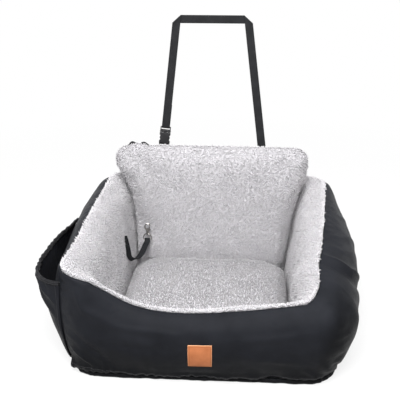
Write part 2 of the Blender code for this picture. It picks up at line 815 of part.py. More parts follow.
def anchor_pairs(foot, top):
    """The webbing's lower end, lying against the rear cover."""
    start, run, side = leg_line(foot, top)
    y = REAR_FACE + 2 * CLEARANCE + WEBBING_THICKNESS / 2
    pairs = []
    for z in (STRAP_ANCHOR_LOW, STRAP_LEAVES_AT - 0.004):
        middle = start + run * ((z - STRAP_LEAVES_AT) / run[1])
        low, high = middle - side * WEBBING_WIDTH / 2, middle + side * WEBBING_WIDTH / 2
        pairs.append([Vector((p[0], y, STRAP_LEAVES_AT + p[1])) for p in (low, high)])
    return pairs


def wrap_radius():
    """From the middle of a square bar to the middle of the webbing that goes round it."""
    return (WEB_BAR / math.sqrt(2) + CLEARANCE + WEBBING_THICKNESS / 2) / math.cos(math.pi / 12)


def wrap_pairs(foot, top, reach, upward, tail):
    """Webbing that goes round a buckle's bar and lies back on itself, as pairs of edges."""
    sign = 1 if upward else -1
    radius = wrap_radius()
    pairs = []
    for step in range(7):
        angle = math.pi * step / 6
        up = reach + sign * radius * math.sin(angle)
        pairs.append(leg_pair(foot, top, up, radius * (1 - math.cos(angle))))
    pairs.append(leg_pair(foot, top, reach - sign * tail, 2 * radius))
    return pairs


def make_headrest_strap():
    """The loop round the headrest posts, with slanting folds at its two upper corners."""
    left = leg_line(STRAP_LEFT_FOOT, STRAP_LEFT_TOP)[1]
    right = leg_line(STRAP_RIGHT_FOOT, STRAP_RIGHT_TOP)[1]
    across = Vector((1, 0))
    left_corner = Vector((STRAP_LEFT_TOP, STRAP_REACH))
    right_corner = Vector((STRAP_RIGHT_TOP, STRAP_REACH))
    bar = plug_bar_reach()
    edges = wrap_pairs(STRAP_LEFT_FOOT, STRAP_LEFT_TOP, bar, False, STRAP_TAIL)[::-1]
    edges += [leg_pair(STRAP_LEFT_FOOT, STRAP_LEFT_TOP, bar + t * (STRAP_REACH - 0.03 - bar)) for t in (0.35, 0.7, 1)]
    low, high = fold_pair(left_corner, left, across, 0.0)
    edges.append([low, high])
    low, high = fold_pair(left_corner, left, across, STRAP_FOLD_GAP)
    edges.append([low, high])
    low, high = fold_pair(right_corner, across, -right, STRAP_FOLD_GAP)
    edges.append([high, low])
    low, high = fold_pair(right_corner, across, -right, 0.0)
    edges.append([high, low])
    reaches = [STRAP_REACH - 0.03, STRAP_REACH * 0.55, STRAP_REACH * 0.25, 0.0]
    edges += [leg_pair(STRAP_RIGHT_FOOT, STRAP_RIGHT_TOP, r)[::-1] for r in reaches]
    edges += [pair[::-1] for pair in reversed(anchor_pairs(STRAP_RIGHT_FOOT, STRAP_RIGHT_TOP))]
    ribbon("headrest_strap", edges, WEBBING_THICKNESS, WEBBING)


def make_anchor_strap():
    """The short webbing from the rear cover to the buckle's socket."""
    bar = socket_bar_reach()
    edges = anchor_pairs(STRAP_LEFT_FOOT, STRAP_LEFT_TOP)
    edges += [leg_pair(STRAP_LEFT_FOOT, STRAP_LEFT_TOP, r) for r in (0.0, 0.02, 0.04)]
    edges += wrap_pairs(STRAP_LEFT_FOOT, STRAP_LEFT_TOP, bar, True, 0.03)
    ribbon("anchor_strap", edges, WEBBING_THICKNESS, WEBBING)


def buckle_frame():
    """The buckle's own frame: across, up the leg, and out towards the front."""
    start, run, side = leg_line(STRAP_LEFT_FOOT, STRAP_LEFT_TOP)
    middle = start + run * (BUCKLE_REACH / run[1])
    origin = strap_plane(*middle, wrap_radius())
    up = (strap_plane(*(middle + run)) - strap_plane(*middle)).normalized()
    across = (strap_plane(*(middle + side)) - strap_plane(*middle)).normalized()
    out = across.cross(up)
    frame = Matrix((across, up, out)).transposed().to_4x4()
    return Matrix.Translation(origin) @ frame


def bar_offset():
    """How far each webbing bar stands from the buckle's middle."""
    return SOCKET_LENGTH / 2 + WEB_FRAME_LENGTH - WEB_BAR / 2


def socket_bar_reach():
    return BUCKLE_REACH - bar_offset() * leg_line(STRAP_LEFT_FOOT, STRAP_LEFT_TOP)[1][1]


def plug_bar_reach():
    offset = bar_offset() + PLUG_BLOCK + CLEARANCE
    return BUCKLE_REACH + offset * leg_line(STRAP_LEFT_FOOT, STRAP_LEFT_TOP)[1][1]


def box_object(name, size, centre):
    """A box primitive with its scale applied."""
    bpy.ops.mesh.primitive_cube_add(size=1, location=centre)
    box = bpy.context.object
    box.name = name
    box.data.transform(Matrix.Diagonal((*size, 1)))
    return box


def cylinder_object(name, radius, length, centre, sides=24, turn=None):
    bpy.ops.mesh.primitive_cylinder_add(vertices=sides, radius=radius, depth=length, location=centre)
    rod = bpy.context.object
    rod.name = name
    if turn is not None:
        rod.data.transform(turn)
    return rod


def bevel(item, width, segments=2):
    modifier = item.modifiers.new("bevel", "BEVEL")
    modifier.width = width
    modifier.segments = segments
    modifier.limit_method = "ANGLE"
    modifier.angle_limit = math.radians(40)
    return modifier


def boolean(item, other, operation):
    """Cut a cutter from an item, or join another shape to it, and keep the cutter out of sight."""
    modifier = item.modifiers.new(operation.lower(), "BOOLEAN")
    modifier.operation = operation
    modifier.object = other
    modifier.solver = "EXACT"
    for owner in list(other.users_collection):
        owner.objects.unlink(other)
    CUTTERS.objects.link(other)
    other.hide_render = True
    other.display_type = "WIRE"


def adopt(item, name, material, frame, smooth=40):
    """Take a shape built in its own frame into the seat, with its modifiers applied."""
    bpy.context.view_layer.update()
    mesh = bpy.data.meshes.new_from_object(item.evaluated_get(bpy.context.evaluated_depsgraph_get()))
    mesh.transform(item.matrix_world)
    origin = frame.to_translation()
    mesh.transform(Matrix.Translation(-origin) @ frame)
    bpy.data.objects.remove(item, do_unlink=True)
    made = bmesh.new()
    made.from_mesh(mesh)
    bmesh.ops.remove_doubles(made, verts=made.verts, dist=1e-7)
    bmesh.ops.dissolve_degenerate(made, edges=made.edges, dist=1e-7)
    made.to_mesh(mesh)
    made.free()
    part = add_part(name, mesh, material, smooth)
    part.location = origin
    return part


def drop_cutters():
    """The cutters have done their work once every shape holds its own mesh."""
    for cutter in list(CUTTERS.objects):
        bpy.data.objects.remove(cutter, do_unlink=True)


def web_frame(name, toward):
    """A rounded frame with one slot, where webbing goes round the bar. toward is 1 up, -1 down."""
    inner_edge = SOCKET_LENGTH / 2 + (PLUG_BLOCK + CLEARANCE if toward > 0 else 0) - 0.001
    outer_edge = bar_offset() + WEB_BAR / 2 + (PLUG_BLOCK + CLEARANCE if toward > 0 else 0)
    middle = toward * (inner_edge + outer_edge) / 2
    frame = box_object(name, (BUCKLE_WIDTH - 0.001, outer_edge - inner_edge, WEB_FRAME_THICKNESS), (0, middle, 0))
    bevel(frame, 0.001)
    slot_middle = toward * (outer_edge - WEB_BAR - WEB_SLOT_LENGTH / 2)
    slot = box_object("slot", (WEBBING_WIDTH + 0.0016, WEB_SLOT_LENGTH, 0.02), (0, slot_middle, 0))
    boolean(frame, slot, "DIFFERENCE")
    thin_middle = toward * (outer_edge - WEB_BAR / 2)
    for side in (-1, 1):
        gap = WEB_FRAME_THICKNESS
        level = side * (WEB_BAR / 2 + gap / 2)
        thin = box_object("thin", (WEBBING_WIDTH + 0.0016, WEB_BAR + 0.002, gap), (0, thin_middle, level))
        boolean(frame, thin, "DIFFERENCE")
    return frame


def make_socket(frame):
    """The buckle's hollow half, with the waisted windows that show the latch arms."""
    shell = box_object("shell", (BUCKLE_WIDTH, SOCKET_LENGTH, SOCKET_THICKNESS), (0, 0, 0))
    bevel(shell, 0.0016, 3)
    boolean(shell, web_frame("socket_web", -1), "UNION")
    hollow = box_object(
        "hollow",
        (BUCKLE_WIDTH - 2 * SOCKET_WALL, SOCKET_LENGTH - 0.003, SOCKET_THICKNESS - 2 * SOCKET_WALL),
        (0, 0.003, 0),
    )
    boolean(shell, hollow, "DIFFERENCE")
    for side in (-1, 1):
        x = side * (BUCKLE_WIDTH / 2 - WAIST_DEPTH + WAIST_RADIUS)
        boolean(shell, cylinder_object("waist", WAIST_RADIUS, 0.03, (x, 0, 0), 32), "DIFFERENCE")
    adopt(shell, "buckle_socket", PLASTIC, frame)


def make_plug(frame):
    """The buckle's plug: block, webbing bar and the middle guide."""
    low = SOCKET_LENGTH / 2 + CLEARANCE
    block = box_object("block", (BUCKLE_WIDTH, PLUG_BLOCK, SOCKET_THICKNESS - 0.001), (0, low + PLUG_BLOCK / 2, 0))
    bevel(block, 0.0012)
    boolean(block, web_frame("plug_web", 1), "UNION")
    guide = box_object("guide", (0.0046, SOCKET_LENGTH - 0.007, ARM_THICKNESS), (0, low - SOCKET_LENGTH / 2 + 0.0045, 0))
    boolean(block, guide, "UNION")
    adopt(block, "buckle_plug", PLASTIC, frame)


def arm_outline():
    """The right latch arm, as (across, up) in millimetres from the buckle's middle."""
    return [
        (7.0, 13.9), (10.2, 13.9), (10.2, 6.0), (12.4, 3.4), (12.6, -1.0), (10.4, -6.0), (9.2, -9.0),
        (7.9, -9.0), (7.7, -2.0), (8.3, 2.5), (7.4, 6.0),
    ]


def arm_pivot(side):
    """Where a latch arm bends, at its root on the plug."""
    return Vector((side * 0.0086, SOCKET_LENGTH / 2 - 0.0004, 0))


def make_arms(frame):
    """The two spring arms whose pads show in the socket's waist."""
    for name, side in (("latch_arm_left", -1), ("latch_arm_right", 1)):
        curve = bpy.data.curves.new(name, "CURVE")
        curve.dimensions = "2D"
        curve.fill_mode = "BOTH"
        curve.extrude = ARM_THICKNESS / 2
        line = curve.splines.new("POLY")
        outline = arm_outline()
        line.points.add(len(outline) - 1)
        line.use_cyclic_u = True
        for point, (x, y) in zip(line.points, outline):
            point.co = (side * x / 1000, y / 1000, 0, 1)
        mesh = mesh_from_curve(curve)
        pivot = frame @ arm_pivot(side)
        mesh.transform(Matrix.Translation(-pivot) @ frame)
        arm = add_part(name, mesh, PLASTIC)
        arm.location = pivot
        bevel(arm, 0.0004, 1)


def hook_frame(back):
    """The snap hook's own frame, at the middle of its eye's bar: across, back, and up its axis."""
    x = -0.152
    z = 0.130
    plush = min(back_front_y(back, x + dx, z + dz) for dx in (-0.01, 0.01) for dz in (0.0, 0.03, 0.045))
    y = plush - 0.0105
    return Matrix.Translation((x, y, z)) @ Matrix.Rotation(-HOOK_LEAN, 4, "X")


def back_front_y(back, x, z):
    """The front of the back cushion at a place across and a height."""
    best = min(
        (back.point(a, b, 1, 0.0) for a in np.linspace(-0.95, 0, 39) for b in np.linspace(-0.9, 0.3, 49)),
        key=lambda p: (p[0] - x) ** 2 + (p[2] - z) ** 2,
    )
    return best[1]


def tether_path(frame):
    """The tether's middle line, and the direction of its width, from the wall to the hook's eye."""
    bar = frame.to_translation()

    def beside_wall(y, z, off):
        return -WELL.reach(0, -1, y, z) + off, y, z

    points = [
        beside_wall(0.062, 0.168, 0.0058),
        beside_wall(0.059, 0.158, 0.0070),
        beside_wall(0.055, 0.146, 0.0082),
        beside_wall(0.051, 0.133, 0.0092),
        beside_wall(0.048, 0.1215, 0.0104),
        beside_wall(0.049, 0.1135, 0.0165),
        (bar[0] - 0.0150, 0.058, 0.1130),
        (bar[0] - 0.0075, 0.076, 0.1165),
        (bar[0] - 0.0030, bar[1] - 0.014, bar[2] - 0.0085),
        (bar[0], bar[1] - 0.0045, bar[2] - 0.0045),
    ]
    widths = [
        (0.55, -0.65, 0.30), (0.66, -0.58, 0.24), (0.78, -0.48, 0.18), (0.85, -0.38, 0.12),
        (0.88, -0.26, 0.10), (0.84, 0.10, 0.34), (0.84, 0.24, 0.14), (0.94, 0.20, 0.05),
        (1.0, 0.06, 0.0), (1.0, 0.0, 0.0),
    ]
    return [Vector(p) for p in points], [Vector(w) for w in widths]


def smooth_line(points, per_span):
    """Points on a smooth curve through the given ones."""
    knots = np.array([tuple(p) for p in points])
    line = []
    for i in range(len(knots) - 1):
        for k in range(per_span):
            line.append(section_point_3d(knots, i + k / per_span))
    line.append(knots[-1])
    return [Vector(p) for p in line]


def section_point_3d(knots, turn):
    here = min(int(turn), len(knots) - 2)
    t = turn - here
    p1, p2 = knots[here], knots[here + 1]
    p0 = knots[here - 1] if here > 0 else 2 * p1 - p2
    p3 = knots[here + 2] if here + 2 < len(knots) else 2 * p2 - p1
    m1, m2 = (p2 - p0) / 2, (p3 - p1) / 2
    return (
        p1 * (2 * t**3 - 3 * t**2 + 1)
        + m1 * (t**3 - 2 * t**2 + t)
        + p2 * (3 * t**2 - 2 * t**3)
        + m2 * (t**3 - t**2)
    )


def make_tether(frame):
    """The flat tether, sewn to the left wall and looped round the hook's eye."""
    points, widths = tether_path(frame)
    line, across = smooth_line(points, 3), smooth_line(widths, 3)
    edges = []
    for i, (p, w) in enumerate(zip(line, across)):
        ahead = line[min(i + 1, len(line) - 1)] - line[max(i - 1, 0)]
        ahead.normalize()
        w = (w - ahead * w.dot(ahead)).normalized() * TETHER_WIDTH / 2
        edges.append([p - w, p + w])
    radius = EYE_WIRE + CLEARANCE + TETHER_THICKNESS / 2
    for step in range(7):
        angle = math.radians(-35 + 250 * step / 6)
        middle = frame @ Vector((0, -radius * math.cos(angle), radius * math.sin(angle)))
        half = Vector((TETHER_WIDTH / 2, 0, 0))
        edges.append([middle - half, middle + half])
    ribbon("tether_strap", edges, TETHER_THICKNESS, WEBBING)


def make_hook_eye(frame):
    """The D shaped eye with the swivel's collar on top."""
    bar = [(-EYE_HALF_WIDTH, 0, 0), (0, 0, 0), (EYE_HALF_WIDTH, 0, 0)]
    arc = []
    for step in range(1, 12):
        angle = math.pi * step / 12
        arc.append((EYE_HALF_WIDTH * math.cos(angle), 0, 0.0015 + (EYE_HEIGHT - 0.0015) * math.sin(angle)))
    mesh = mesh_from_curve(tube_curve(bar + arc, EYE_WIRE, 2, cyclic=True))
    eye = bpy.data.objects.new("eye", mesh)
    bpy.context.scene.collection.objects.link(eye)
    low = EYE_HEIGHT - EYE_WIRE - 0.0001
    boolean(eye, cylinder_object("collar", COLLAR_RADIUS, COLLAR_LENGTH, (0, 0, low + COLLAR_LENGTH / 2), 20), "UNION")
    boolean(eye, cylinder_object("bore", STUD_RADIUS + CLEARANCE, 0.02, (0, 0, low), 16), "DIFFERENCE")
    adopt(eye, "hook_eye", METAL, frame)
    return low, low + COLLAR_LENGTH


def claw_path():
    """The claw's middle line as (across, up) from the eye's bar, in millimetres."""
    return [
        (-1.2, 21.5), (-4.2, 24.2), (-6.0, 28.0), (-6.2, 32.0), (-4.6, 35.6), (-1.4, 37.6),
        (2.2, 37.2), (4.9, 34.8), (5.6, 32.2),
    ]


def make_hook_body(frame, low, high):
    """The turning claw: stud with its head, boss, fork for the gate, and the hook."""
    stud = cylinder_object("stud", STUD_RADIUS, high - low + 0.004, (0, 0, (low + high) / 2 + 0.001), 16)
    head_top = low - 2 * CLEARANCE
    head = cylinder_object("head", STUD_HEAD_RADIUS, STUD_HEAD_LENGTH, (0, 0, head_top - STUD_HEAD_LENGTH / 2), 16)
    boolean(stud, head, "UNION")
    base = high + CLEARANCE
    boss = cylinder_object("boss", 0.0034, 0.0042, (0, 0, base + 0.0021), 20)
    boolean(stud, boss, "UNION")
    fork = box_object("fork", (0.0086, 0.0056, 0.0056), (0.0013, 0, base + 0.0042 + 0.0012))
    bevel(fork, 0.0008, 1)
    boolean(stud, fork, "UNION")
    line = [(x / 1000, 0, z / 1000) for x, z in claw_path()]
    smooth = [tuple(p) for p in smooth_line(line, 2)]
    radii = [1.15 - 0.35 * i / (len(smooth) - 1) for i in range(len(smooth))]
    claw = bpy.data.objects.new("claw", mesh_from_curve(tube_curve(smooth, CLAW_WIRE, 2, radii=radii)))
    bpy.context.scene.collection.objects.link(claw)
    boolean(stud, claw, "UNION")
    slot = box_object("slot", (0.0076, GATE_THICKNESS + 2 * CLEARANCE, 0.009), (0.0044, 0, gate_pivot(high)[2] + 0.002))
    boolean(stud, slot, "DIFFERENCE")
    turn = Matrix.Rotation(math.pi / 2, 4, "X")
    hole = cylinder_object("hole", GATE_PIN_RADIUS + 0.0001, 0.02, gate_pivot(high), 12, turn)
    boolean(stud, hole, "DIFFERENCE")
    adopt(stud, "hook_claw", METAL, frame)


def gate_pivot(high):
    return Vector((0.0036, 0, high + CLEARANCE + 0.0046))


def make_gate(frame, high):
    """The sprung gate with its thumb tab, and the pin that it turns on."""
    pivot = gate_pivot(high)
    px, pz = pivot[0] * 1000, pivot[2] * 1000
    outline = [
        (px - 1.7, pz - 0.6), (px - 0.6, pz - 1.9), (px + 1.6, pz - 1.9), (px + 4.6, pz - 0.9),
        (px + 5.2, pz + 0.6), (px + 3.4, pz + 1.4), (px + 2.3, pz + 3.4), (px + 2.5, 30.9),
        (px + 0.7, 31.1), (px - 0.4, pz + 3.4), (px - 1.6, pz + 1.2),
    ]
    curve = bpy.data.curves.new("gate", "CURVE")
    curve.dimensions = "2D"
    curve.fill_mode = "BOTH"
    curve.extrude = GATE_THICKNESS / 2
    line = curve.splines.new("POLY")
    line.points.add(len(outline) - 1)
    line.use_cyclic_u = True
    for point, (x, z) in zip(line.points, outline):
        point.co = (x / 1000, z / 1000, 0, 1)
    mesh = mesh_from_curve(curve)
    mesh.transform(Matrix.Rotation(math.pi / 2, 4, "X"))
    gate = bpy.data.objects.new("gate", mesh)
    bpy.context.scene.collection.objects.link(gate)
    turn = Matrix.Rotation(math.pi / 2, 4, "X")
    boolean(gate, cylinder_object("hole", GATE_PIN_RADIUS + CLEARANCE, 0.02, pivot, 12, turn), "DIFFERENCE")
    local = Matrix.Translation(pivot)
    gate.data.transform(Matrix.Translation(-pivot))
    for modifier in gate.modifiers:
        modifier.object.location = modifier.object.location - pivot
    adopt(gate, "hook_gate", METAL, frame @ local)
    pin = cylinder_object("pin", GATE_PIN_RADIUS, 0.0062, (0, 0, 0), 12, turn)
    adopt(pin, "gate_pin", METAL, frame @ local)


def make_part():
    back = back_pillow()
    cushion = seat_pillow(back)
    make_walls()
    make_floor()
    make_pillow("cushion", cushion, CUSHION_COVER, PLUSH, UNDERSIDE, "top", "underside")
    make_pillow("backrest", back, BACK_COVER, PLUSH, FABRIC, "front", "rear")
    make_pocket()
    make_patch()
    make_headrest_strap()
    make_anchor_strap()
    frame = buckle_frame()
    make_socket(frame)
    make_plug(frame)
    make_arms(frame)
    frame = hook_frame(back)
    make_tether(frame)
    low, high = make_hook_eye(frame)
    make_hook_body(frame, low, high)
    make_gate(frame, high)
    drop_cutters()
    hook = frame.to_translation()
    axis = frame.to_3x3() @ Vector((0, 0, 1))
    buckle = buckle_frame()
    print("hook bar", tuple(round(v, 5) for v in hook), "axis", tuple(round(v, 4) for v in axis))
    print("gate pivot", tuple(round(v, 5) for v in frame @ gate_pivot(high)))
    for side in (-1, 1):
        print("arm pivot", tuple(round(v, 5) for v in buckle @ arm_pivot(side)))
    print("buckle out", tuple(round(v, 4) for v in buckle.to_3x3() @ Vector((0, 0, 1))))


clear_scene()
PARTS = new_collection("dog_car_seat")
CUTTERS = new_collection("cutters")
FABRIC = new_material("black_fabric", (0.028, 0.028, 0.033), 0.55)
BINDING = new_material("black_binding", (0.02, 0.02, 0.023), 0.6)
PLUSH = new_material("grey_plush", (0.62, 0.60, 0.64), 0.95)
FOAM = new_material("white_padding", (0.85, 0.85, 0.82), 0.9)
RUBBERISED = new_material("bottom_fabric", (0.03, 0.03, 0.033), 0.8)
BOARD = new_material("grey_board", (0.25, 0.25, 0.26), 0.8)
UNDERSIDE = new_material("cushion_underside", (0.3, 0.3, 0.32), 0.85)
LEATHER = new_material("tan_leather", (0.65, 0.27, 0.12), 0.6)
WEBBING = new_material("black_webbing", (0.03, 0.031, 0.034), 0.7)
PLASTIC = new_material("black_plastic", (0.02, 0.02, 0.022), 0.4)
METAL = new_material("dark_metal", (0.45, 0.44, 0.42), 0.3, 1.0)
WALLS = {
    "front": Wall(0, FRONT_PLACES),
    "right": Wall(1, SIDE_PLACES),
    "rear": Wall(2, REAR_PLACES),
    "left": Wall(3, SIDE_PLACES),
}
WELL = Well(WALLS.values())
make_part()
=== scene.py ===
# %% [markdown]
# # A padded dog car seat
# This is a soft, open booster seat. It has a ring of fat fabric walls lined with grey plush, a
# loose seat cushion, a taller back cushion, a tall webbing loop behind them, and a short tether
# with a snap hook. The solid model already holds every size, so this script loads it as a fixed
# frame and dresses it in cloth, pile, webbing, leather and metal.

import math
import random

import bmesh
import bpy
import numpy as np
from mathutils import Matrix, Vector, noise


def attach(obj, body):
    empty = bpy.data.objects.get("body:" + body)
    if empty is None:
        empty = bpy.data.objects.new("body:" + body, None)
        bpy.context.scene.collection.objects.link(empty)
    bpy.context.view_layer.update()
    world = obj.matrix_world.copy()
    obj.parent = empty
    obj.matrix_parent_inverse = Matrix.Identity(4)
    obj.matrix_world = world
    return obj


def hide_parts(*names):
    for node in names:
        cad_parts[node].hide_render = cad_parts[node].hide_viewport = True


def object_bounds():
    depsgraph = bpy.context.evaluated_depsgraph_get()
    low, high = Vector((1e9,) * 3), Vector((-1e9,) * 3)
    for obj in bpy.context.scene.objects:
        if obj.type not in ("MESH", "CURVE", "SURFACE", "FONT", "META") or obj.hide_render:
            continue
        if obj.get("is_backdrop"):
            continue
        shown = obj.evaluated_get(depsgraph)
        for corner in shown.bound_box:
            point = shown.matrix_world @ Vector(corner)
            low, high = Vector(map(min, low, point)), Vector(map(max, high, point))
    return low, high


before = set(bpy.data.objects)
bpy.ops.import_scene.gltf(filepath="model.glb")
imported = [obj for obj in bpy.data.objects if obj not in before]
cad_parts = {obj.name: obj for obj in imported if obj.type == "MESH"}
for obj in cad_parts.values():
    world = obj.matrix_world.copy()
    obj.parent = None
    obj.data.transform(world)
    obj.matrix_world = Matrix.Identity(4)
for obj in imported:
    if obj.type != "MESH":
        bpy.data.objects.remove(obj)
cad_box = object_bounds()
print("solid model:", len(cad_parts), "nodes, box", [[round(c, 3) for c in p] for p in cad_box])

# %% [markdown]
# ## Camera
# The seat is seen from in front and above, a little from its right. The distance and the focal
# length were fitted to the outline of the walls and the strap, so that near and far parts shrink
# at the rate they do in a real picture of a seat this size.

# %% Place the camera
def add_object(name, data, place=(0, 0, 0), turn=(0, 0, 0)):
    """An object in the scene."""
    item = bpy.data.objects.new(name, data)
    item.location = place
    item.rotation_euler = turn
    bpy.context.scene.collection.objects.link(item)
    return item


lens_data = bpy.data.cameras.new("camera")
lens_data.lens = 62.6
lens_data.sensor_width = 36
lens_data.clip_start = 0.05
camera = add_object("camera", lens_data, (0.069, -1.393, 0.851), (math.radians(68), 0, math.radians(3.5)))
bpy.context.scene.camera = camera
bpy.context.scene.view_settings.view_transform = "Standard"
print("camera", round(math.dist(camera.location, (0, 0, 0.3)), 2), "m from the seat")

# %% [markdown]
# ## Small helpers for nodes
# Materials and repeated shapes are both made by trees of nodes. Writing every node by hand fills
# pages, so one helper makes a node, sets its plain values and joins the sockets that it is given.
# Another makes a group, which is a tree with named sockets that several materials can share.


# %% Node helpers
def put(tree, kind, sockets=None, **settings):
    """A node, named by its full type, with values or other nodes' outputs put into its sockets."""
    made = tree.nodes.new(kind)
    for name, value in settings.items():
        setattr(made, name, value)
    for name, value in (sockets or {}).items():
        if isinstance(value, bpy.types.NodeSocket):
            tree.links.new(value, made.inputs[name])
        else:
            made.inputs[name].default_value = value
    return made


def node(tree, kind, sockets=None, **settings):
    """A node of the kinds that materials use, named without their common first word."""
    return put(tree, "ShaderNode" + kind, sockets, **settings)


def maths(tree, operation, *values):
    """The result of one sum on values or sockets."""
    return node(tree, "Math", dict(enumerate(values)), operation=operation).outputs[0]


def ramp(tree, value, low=0.0, high=1.0, start=0.0, end=1.0, **settings):
    """A value that goes from start to end while the given one goes from low to high."""
    sockets = {"Value": value, "From Min": low, "From Max": high, "To Min": start, "To Max": end}
    return node(tree, "MapRange", sockets, **settings).outputs[0]


def new_tree(name, kind, inputs, outputs):
    """An empty group with named sockets, and its two ends. Inputs are (type, value) pairs."""
    tree = bpy.data.node_groups.new(name, kind)
    for title, (socket_type, value) in inputs.items():
        socket = tree.interface.new_socket(title, in_out="INPUT", socket_type="NodeSocket" + socket_type)
        if value is not None:
            socket.default_value = value
    for title, socket_type in outputs.items():
        tree.interface.new_socket(title, in_out="OUTPUT", socket_type="NodeSocket" + socket_type)
    return tree, tree.nodes.new("NodeGroupInput").outputs, tree.nodes.new("NodeGroupOutput").inputs


def use_group(tree, group, **values):
    """A group placed in a material, with its sockets named with _ for spaces."""
    sockets = {name.replace("_", " "): value for name, value in values.items()}
    return put(tree, "ShaderNodeGroup", sockets, node_tree=group).outputs


# %% [markdown]
# ## Shared effects
# Cloth of every kind shows threads that cross, and colour that isn't quite even. Both are made
# once as groups. The weave is the product of two sine waves, which gives the small pillows of a
# plain weave; its height bumps the cloth and also darkens the colour in the hollows between
# threads and lightens it on their crowns, which is painted shade. The uneven colour is soft noise
# between two colours. Mapping both in metres keeps the threads at their real size on every piece.

# %% Weave and uneven colour
WEAVE, ends, out = new_tree(
    "plain_weave",
    "ShaderNodeTree",
    {"Place": ("Vector", None), "Threads across": ("Float", 0.0006), "Threads along": ("Float", 0.0006)},
    {"Height": "Float"},
)
parts = node(WEAVE, "SeparateXYZ", {"Vector": ends["Place"]}).outputs
waves = []
for axis, pitch in (("X", "Threads across"), ("Y", "Threads along")):
    turn = maths(WEAVE, "MULTIPLY", maths(WEAVE, "DIVIDE", parts[axis], ends[pitch]), math.pi)
    waves.append(maths(WEAVE, "SINE", turn))
pillow = maths(WEAVE, "MULTIPLY", *waves)
WEAVE.links.new(maths(WEAVE, "MULTIPLY_ADD", pillow, 0.5, 0.5), out["Height"])

UNEVEN, ends, out = new_tree(
    "uneven_colour",
    "ShaderNodeTree",
    {
        "Place": ("Vector", None),
        "Patches per metre": ("Float", 30.0),
        "Dark": ("Color", (0, 0, 0, 1)),
        "Light": ("Color", (1, 1, 1, 1)),
    },
    {"Color": "Color", "Amount": "Float"},
)
patches = {"Vector": ends["Place"], "Scale": ends["Patches per metre"], "Detail": 3.0}
even = ramp(UNEVEN, node(UNEVEN, "TexNoise", patches).outputs["Fac"], 0.3, 0.7)
mixed = node(UNEVEN, "Mix", {0: even, 6: ends["Dark"], 7: ends["Light"]}, data_type="RGBA")
UNEVEN.links.new(mixed.outputs[2], out["Color"])
UNEVEN.links.new(even, out["Amount"])
print("groups:", WEAVE.name, UNEVEN.name)


# %% Start a material
def new_material(name, roughness=0.8, metallic=0.0, sheen=0.0, sheen_roughness=0.5, specular=0.5):
    """A material with one Principled BSDF, whose plain values are set on its own sockets."""
    material = bpy.data.materials.new(name)
    material.use_nodes = True
    sockets = material.node_tree.nodes["Principled BSDF"].inputs
    sockets["Roughness"].default_value = roughness
    sockets["Metallic"].default_value = metallic
    sockets["Sheen Weight"].default_value = sheen
    sockets["Sheen Roughness"].default_value = sheen_roughness
    sockets["Specular IOR Level"].default_value = specular
    return material, material.node_tree, sockets


def bump(tree, sockets, height, distance, strength=1.0):
    """Feeds a height, in its own units of distance, to a shader's normal."""
    made = node(tree, "Bump", {"Height": height, "Distance": distance, "Strength": strength})
    tree.links.new(made.outputs[0], sockets["Normal"])


def place_of(tree, cloth=False):
    """Where a point is: on the cloth in metres if the piece has a cloth map, or in space."""
    if cloth:
        return node(tree, "UVMap", uv_map="cloth").outputs[0]
    return node(tree, "TexCoord").outputs["Object"]


def two_tone(tree, place, patches, dark, light):
    """Two close colours in soft patches: the colour, and how light it is from 0 to 1."""
    return use_group(tree, UNEVEN, Place=place, Patches_per_metre=patches, Dark=(*dark, 1), Light=(*light, 1))


def shaded(tree, sockets, colour, shade):
    """A colour times a shade, as the shader's base colour."""
    made = node(tree, "Mix", {0: 1.0, 6: colour, 7: shade}, data_type="RGBA", blend_type="MULTIPLY")
    tree.links.new(made.outputs[2], sockets["Base Color"])


def mottled(name, patches, dark, light, roughness, **looks):
    """A material of two close colours, with what its next nodes need."""
    material, tree, sockets = new_material(name, roughness, **looks)
    space = place_of(tree)
    colour = two_tone(tree, space, patches, dark, light)
    tree.links.new(colour["Color"], sockets["Base Color"])
    return material, tree, sockets, space, colour


# %% [markdown]
# ## Outer fabric
# The outside is a dense black polyester with a faint satin look. Its threads are about half a
# millimetre apart. A low, wide crumple under the weave breaks up the highlights, as slack cloth
# over stuffing does. Its colour is painted lighter from the middle up and in front, and darker
# towards the hem and on the sides, most on the right: painted shade, where less light falls.

# %% Black fabric
BLACK, tree, sockets = new_material("black_polyester", 0.5, sheen=0.015, sheen_roughness=0.4, specular=0.08)
cloth = place_of(tree, cloth=True)
colour = two_tone(tree, cloth, 14.0, (0.0128, 0.0138, 0.0176), (0.0200, 0.0214, 0.0268))
threads = use_group(tree, WEAVE, Place=cloth, Threads_across=0.0007, Threads_along=0.0006)[0]
crumple = {"Vector": cloth, "Scale": 55.0, "Detail": 4.0, "Roughness": 0.55}
crumple = node(tree, "TexNoise", crumple).outputs["Fac"]
# Painted shade: the colour darkens towards the hem and on both sides, most on the right.
place = node(tree, "SeparateXYZ", {0: place_of(tree)}).outputs
up = maths(tree, "MULTIPLY_ADD", crumple, 0.05, place["Z"])
for inner, outer, side_shade in ((-0.24, -0.32, 0.072), (0.222, 0.262, 0.10)):
    up = maths(tree, "SUBTRACT", up, ramp(tree, place["X"], inner, outer, 0.0, side_shade))
painted_shade = ramp(tree, up, 0.04, 0.155, 0.30, 1.0, interpolation_type="SMOOTHSTEP")
# The weave darkens the colour in its hollows: painted shade.
shaded(tree, sockets, colour[0], maths(tree, "MULTIPLY", ramp(tree, threads, start=0.82, end=1.1), painted_shade))
bump(tree, sockets, maths(tree, "MULTIPLY_ADD", crumple, 6.0, threads), 0.00018, 0.9)
tree.links.new(ramp(tree, crumple, start=0.38, end=0.54), sockets["Roughness"])
